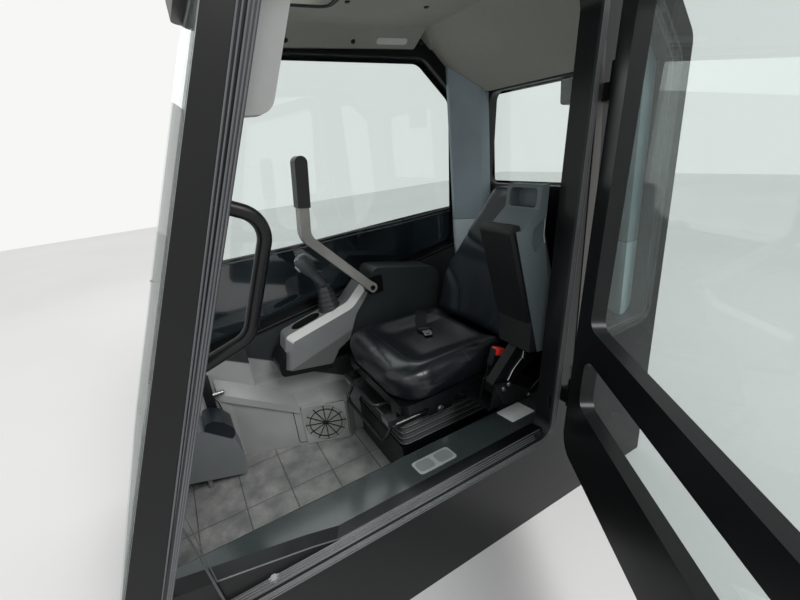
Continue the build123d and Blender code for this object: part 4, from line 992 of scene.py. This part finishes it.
belt_line = [(-227, 424, 441), (-224, 404, 462), (-214, 376, 486)]
for x, y in ((-190, 350), (-165, 331), (-140, 315), (-115, 300), (-92, 290), (-74, 284)):
    belt_line.append((x, y, seat_top(x, y) + 2.4))
strap("belt_webbing", belt_line, 44, 1.8, webbing, "seat")
tongue_z = seat_top(-40, 272) + 3.0
tongue_dir, tongue_side = Vector((0.958, -0.287, 0)), Vector((0.287, 0.958, 0))
plate("belt_tongue", ((-18, 266, tongue_z + 4), tongue_dir, tongue_side), 46, 30, 5, 2.4, zinc, "seat", 0.5, 1)
plate("belt_tongue_head", ((-56, 277, tongue_z), tongue_dir, tongue_side), 34, 50, 8, 11, black_plastic,
      "seat", 3.0)
plate("belt_tongue_slot", ((-8, 263, tongue_z + 6.0), tongue_dir, tongue_side), 11, 14, 2, 0.7, black_plastic,
      "seat")

# Kick panel: joint round the service cover, and a pin in a black block further forward
cover_line = [on_panel(share, z) for share, z in ((0.2, 90), (0.98, 90), (0.98, 252), (0.2, 244))]
tubes("cover_joint", [cover_line + [None]], 1.3, black_plastic, bend=12, sides=6)
plate("pin_block", facing_left(-334, -489, 386), 32, 129, 5, 36, black_plastic, bevel=1.5)
pin = bmesh.new()
pin_rings = [(along, 0, radius, radius) for along, radius in (
    (-2, 8.5), (22, 8.5), (22.5, 5), (26, 5), (26.5, 8), (35, 8), (36.5, 6.5))]
add_rings(pin, ((-303, -473, 381), to_left, to_top, to_rear), pin_rings, 24)
keep("panel_pin", mesh_from(pin, "panel_pin"), zinc, sharp=40)
wire_line = [(-306, -478, 372), (-298, -464, 345), (-304, -458, 300), (-334, -474, 262)]
tubes("panel_wire", [wire_line], 2.4, black_plastic, bend=20)

# Vents in the right wall under the window
slots = bmesh.new()
for at in range(5):
    add_prism(slots, rounded(box_points(40, 7), 3.4), facing_left(-392.6, 300 + at * 62, 560 - at * 3), 0.9)
keep("wall_vents", mesh_from(slots, "wall_vents"), black_plastic)

# Ribbed rubber along the foot of the doorway, lying on the sill, its paler tone a painted sheen
sill_front, sill_rear = int(a_edge(330)), int(b_edge(330))


def along_sill(x, spare_front, spare_rear, pitch, lift):
    """A line along the doorway's sill at x, between the doorway's corners less some spare."""
    line = [(x, y, 510) for y in range(sill_front + spare_front, sill_rear - spare_rear, pitch)]
    return laid_on(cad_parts["side_frame_left"], line, to_foot, lift)


tubes("sill_ribs", [along_sill(x, 36, 40, 24, 0.6) for x in (449.0, 453.0, 457.0)], 1.8, rubber_painted_sheen)
# A pale bead along the sill's outer edge: a painted highlight on the rounded edge
tubes("sill_edge", [along_sill(443.6, 20, 20, 12, 0.4)], 1.8, rubber_painted_sheen)

# Rubber beads along the top of the right window's smoked part: real seals, with their paler tone a painted
# highlight
bead_line = [(-560, 797), (-345, 815), (-26, 818), (193, 828), (437, 834), (713, 849)]
tubes("smoked_beads", [[(-456.0, y, z - drop) for y, z in bead_line] for drop in (2, 15)], 4.0, rubber_painted_sheen)

# Black borders printed on the other panes
rear_ring = rounded([(-334, 936), (334, 936), (334, 1325), (-334, 1325)], 34, 6)
border("rear_frit", rear_ring, 0, 22, ((0, 865.2, 0), to_right, to_top))
roof_ring = rounded([(-174, -204), (174, -204), (174, 116), (-174, 116)], 28, 6)
border("hatch_frit", roof_ring, 0, 20, ((0, 0, 1643.2), to_left, to_rear))

# Lenses of the work lamps
lamp_glass = finish_of("lamp_glass", "#c4c8ca", 0.12, coat=0.4, worn=0.06)
for hand, x in (("left", 330), ("right", -330)):
    plate("lamp_lens_" + hand, ((x, -234.6, 1696), to_left, to_top), 104, 56, 9, 1.2, lamp_glass, bevel=0.5,
          segments=1)
plate("rear_lamp_lens", ((68, 937.8, 1272), to_right, to_top), 84, 78, 10, 1.2, lamp_glass, bevel=0.5,
      segments=1)

# Bolts of the door's hinges on the rear post
hinge_grid = [(510, y, z + step) for z in (418, 1218) for y in (520, 545) for step in (-8, 8)]
hinge_places = laid_on(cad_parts["hinge_brackets"], hinge_grid, to_right)
bolts("hinge_bolts", [(place, to_left) for place in hinge_places if place.x < 470], 5.5, 4, frame_black,
      washer=7.5)

# Camera at the photo's place
camera_data = bpy.data.cameras.new("camera")
camera_data.sensor_width = 36
camera_data.lens = 18.45
camera = bpy.data.objects.new("camera", camera_data)
scene.collection.objects.link(camera)
camera_right = Vector((0.4944, 0.8639, -0.0960)).normalized()
camera_back = Vector((0.8274, -0.4339, 0.3566)).normalized()
camera_up = camera_back.cross(camera_right).normalized()
camera_right = camera_up.cross(camera_back).normalized()
camera.matrix_world = Matrix.Translation((1.151, -0.446, 1.156)) @ Matrix(
    (camera_right, camera_up, camera_back)).transposed().to_4x4()
scene.camera = camera


# Even light
def light(name, kind, power, place, target, **settings):
    """A light at a place that shines towards a target."""
    data = bpy.data.lights.new(name, kind)
    data.energy = power
    for key, value in settings.items():
        setattr(data, key, value)
    made = bpy.data.objects.new(name, data)
    made.location = place
    made.rotation_mode = "QUATERNION"
    made.rotation_quaternion = (Vector(target) - Vector(place)).to_track_quat("-Z", "Y")
    scene.collection.objects.link(made)


light("key", "AREA", 45, (3.0, 1.0, 3.4), (0.0, 0.1, 0.6), shape="RECTANGLE", size=2.0, size_y=2.0)
light("fill", "AREA", 18, (2.2, -2.8, 2.4), (0.0, 0.0, 0.8), shape="RECTANGLE", size=2.5, size_y=2.0)
light("back", "AREA", 20, (-3.0, 0.6, 2.6), (0.0, 0.2, 0.6), shape="RECTANGLE", size=2.5, size_y=2.0)
light("sun", "SUN", 1.5, (0, 0, 0), (-3.0, -0.9, -3.6), angle=radians(25))

# The background is paler where the camera sees it, straight or through glass, than where it lights the cab
sky = Tree("world", bpy.data.worlds.new("world"))
scene.world = sky.owner
by_camera, by_glass, by_sheen = [sky.node("ShaderNodeLightPath", output="Is %s Ray" % kind)
                                 for kind in ("Camera", "Transmission", "Glossy")]
seen = sky.math("MAXIMUM", sky.math("MAXIMUM", by_camera, by_glass), by_sheen)
ambient = sky.node("ShaderNodeBackground", {"Color": (1.0, 1.0, 1.0, 1.0), "Strength": 0.78})
pale = sky.node("ShaderNodeBackground", {"Color": (0.93, 0.93, 0.92, 1.0), "Strength": 1.0})
sky.shown(sky.node("ShaderNodeMixShader", {0: seen, 1: ambient, 2: pale}), "ShaderNodeOutputWorld")

# Ground
floor_mesh = bpy.data.meshes.new("ground")
floor_mesh.from_pydata([(-9, -9, 0), (9, -9, 0), (9, 9, 0), (-9, 9, 0)], [], [(0, 1, 2, 3)])
ground = bpy.data.objects.new("ground", floor_mesh)
scene.collection.objects.link(ground)
tree = Tree("ground")
share = tree.smooth(tree.noise(tree.place(), 0.6, 2.0), 0.3, 0.7)
floor_mesh.materials.append(tree.finish({
    "Base Color": tree.mix(share, (0.6, 0.6, 0.595, 1), (0.63, 0.63, 0.625, 1)),
    "Roughness": 0.85,
}))
ground.location.z = -0.001
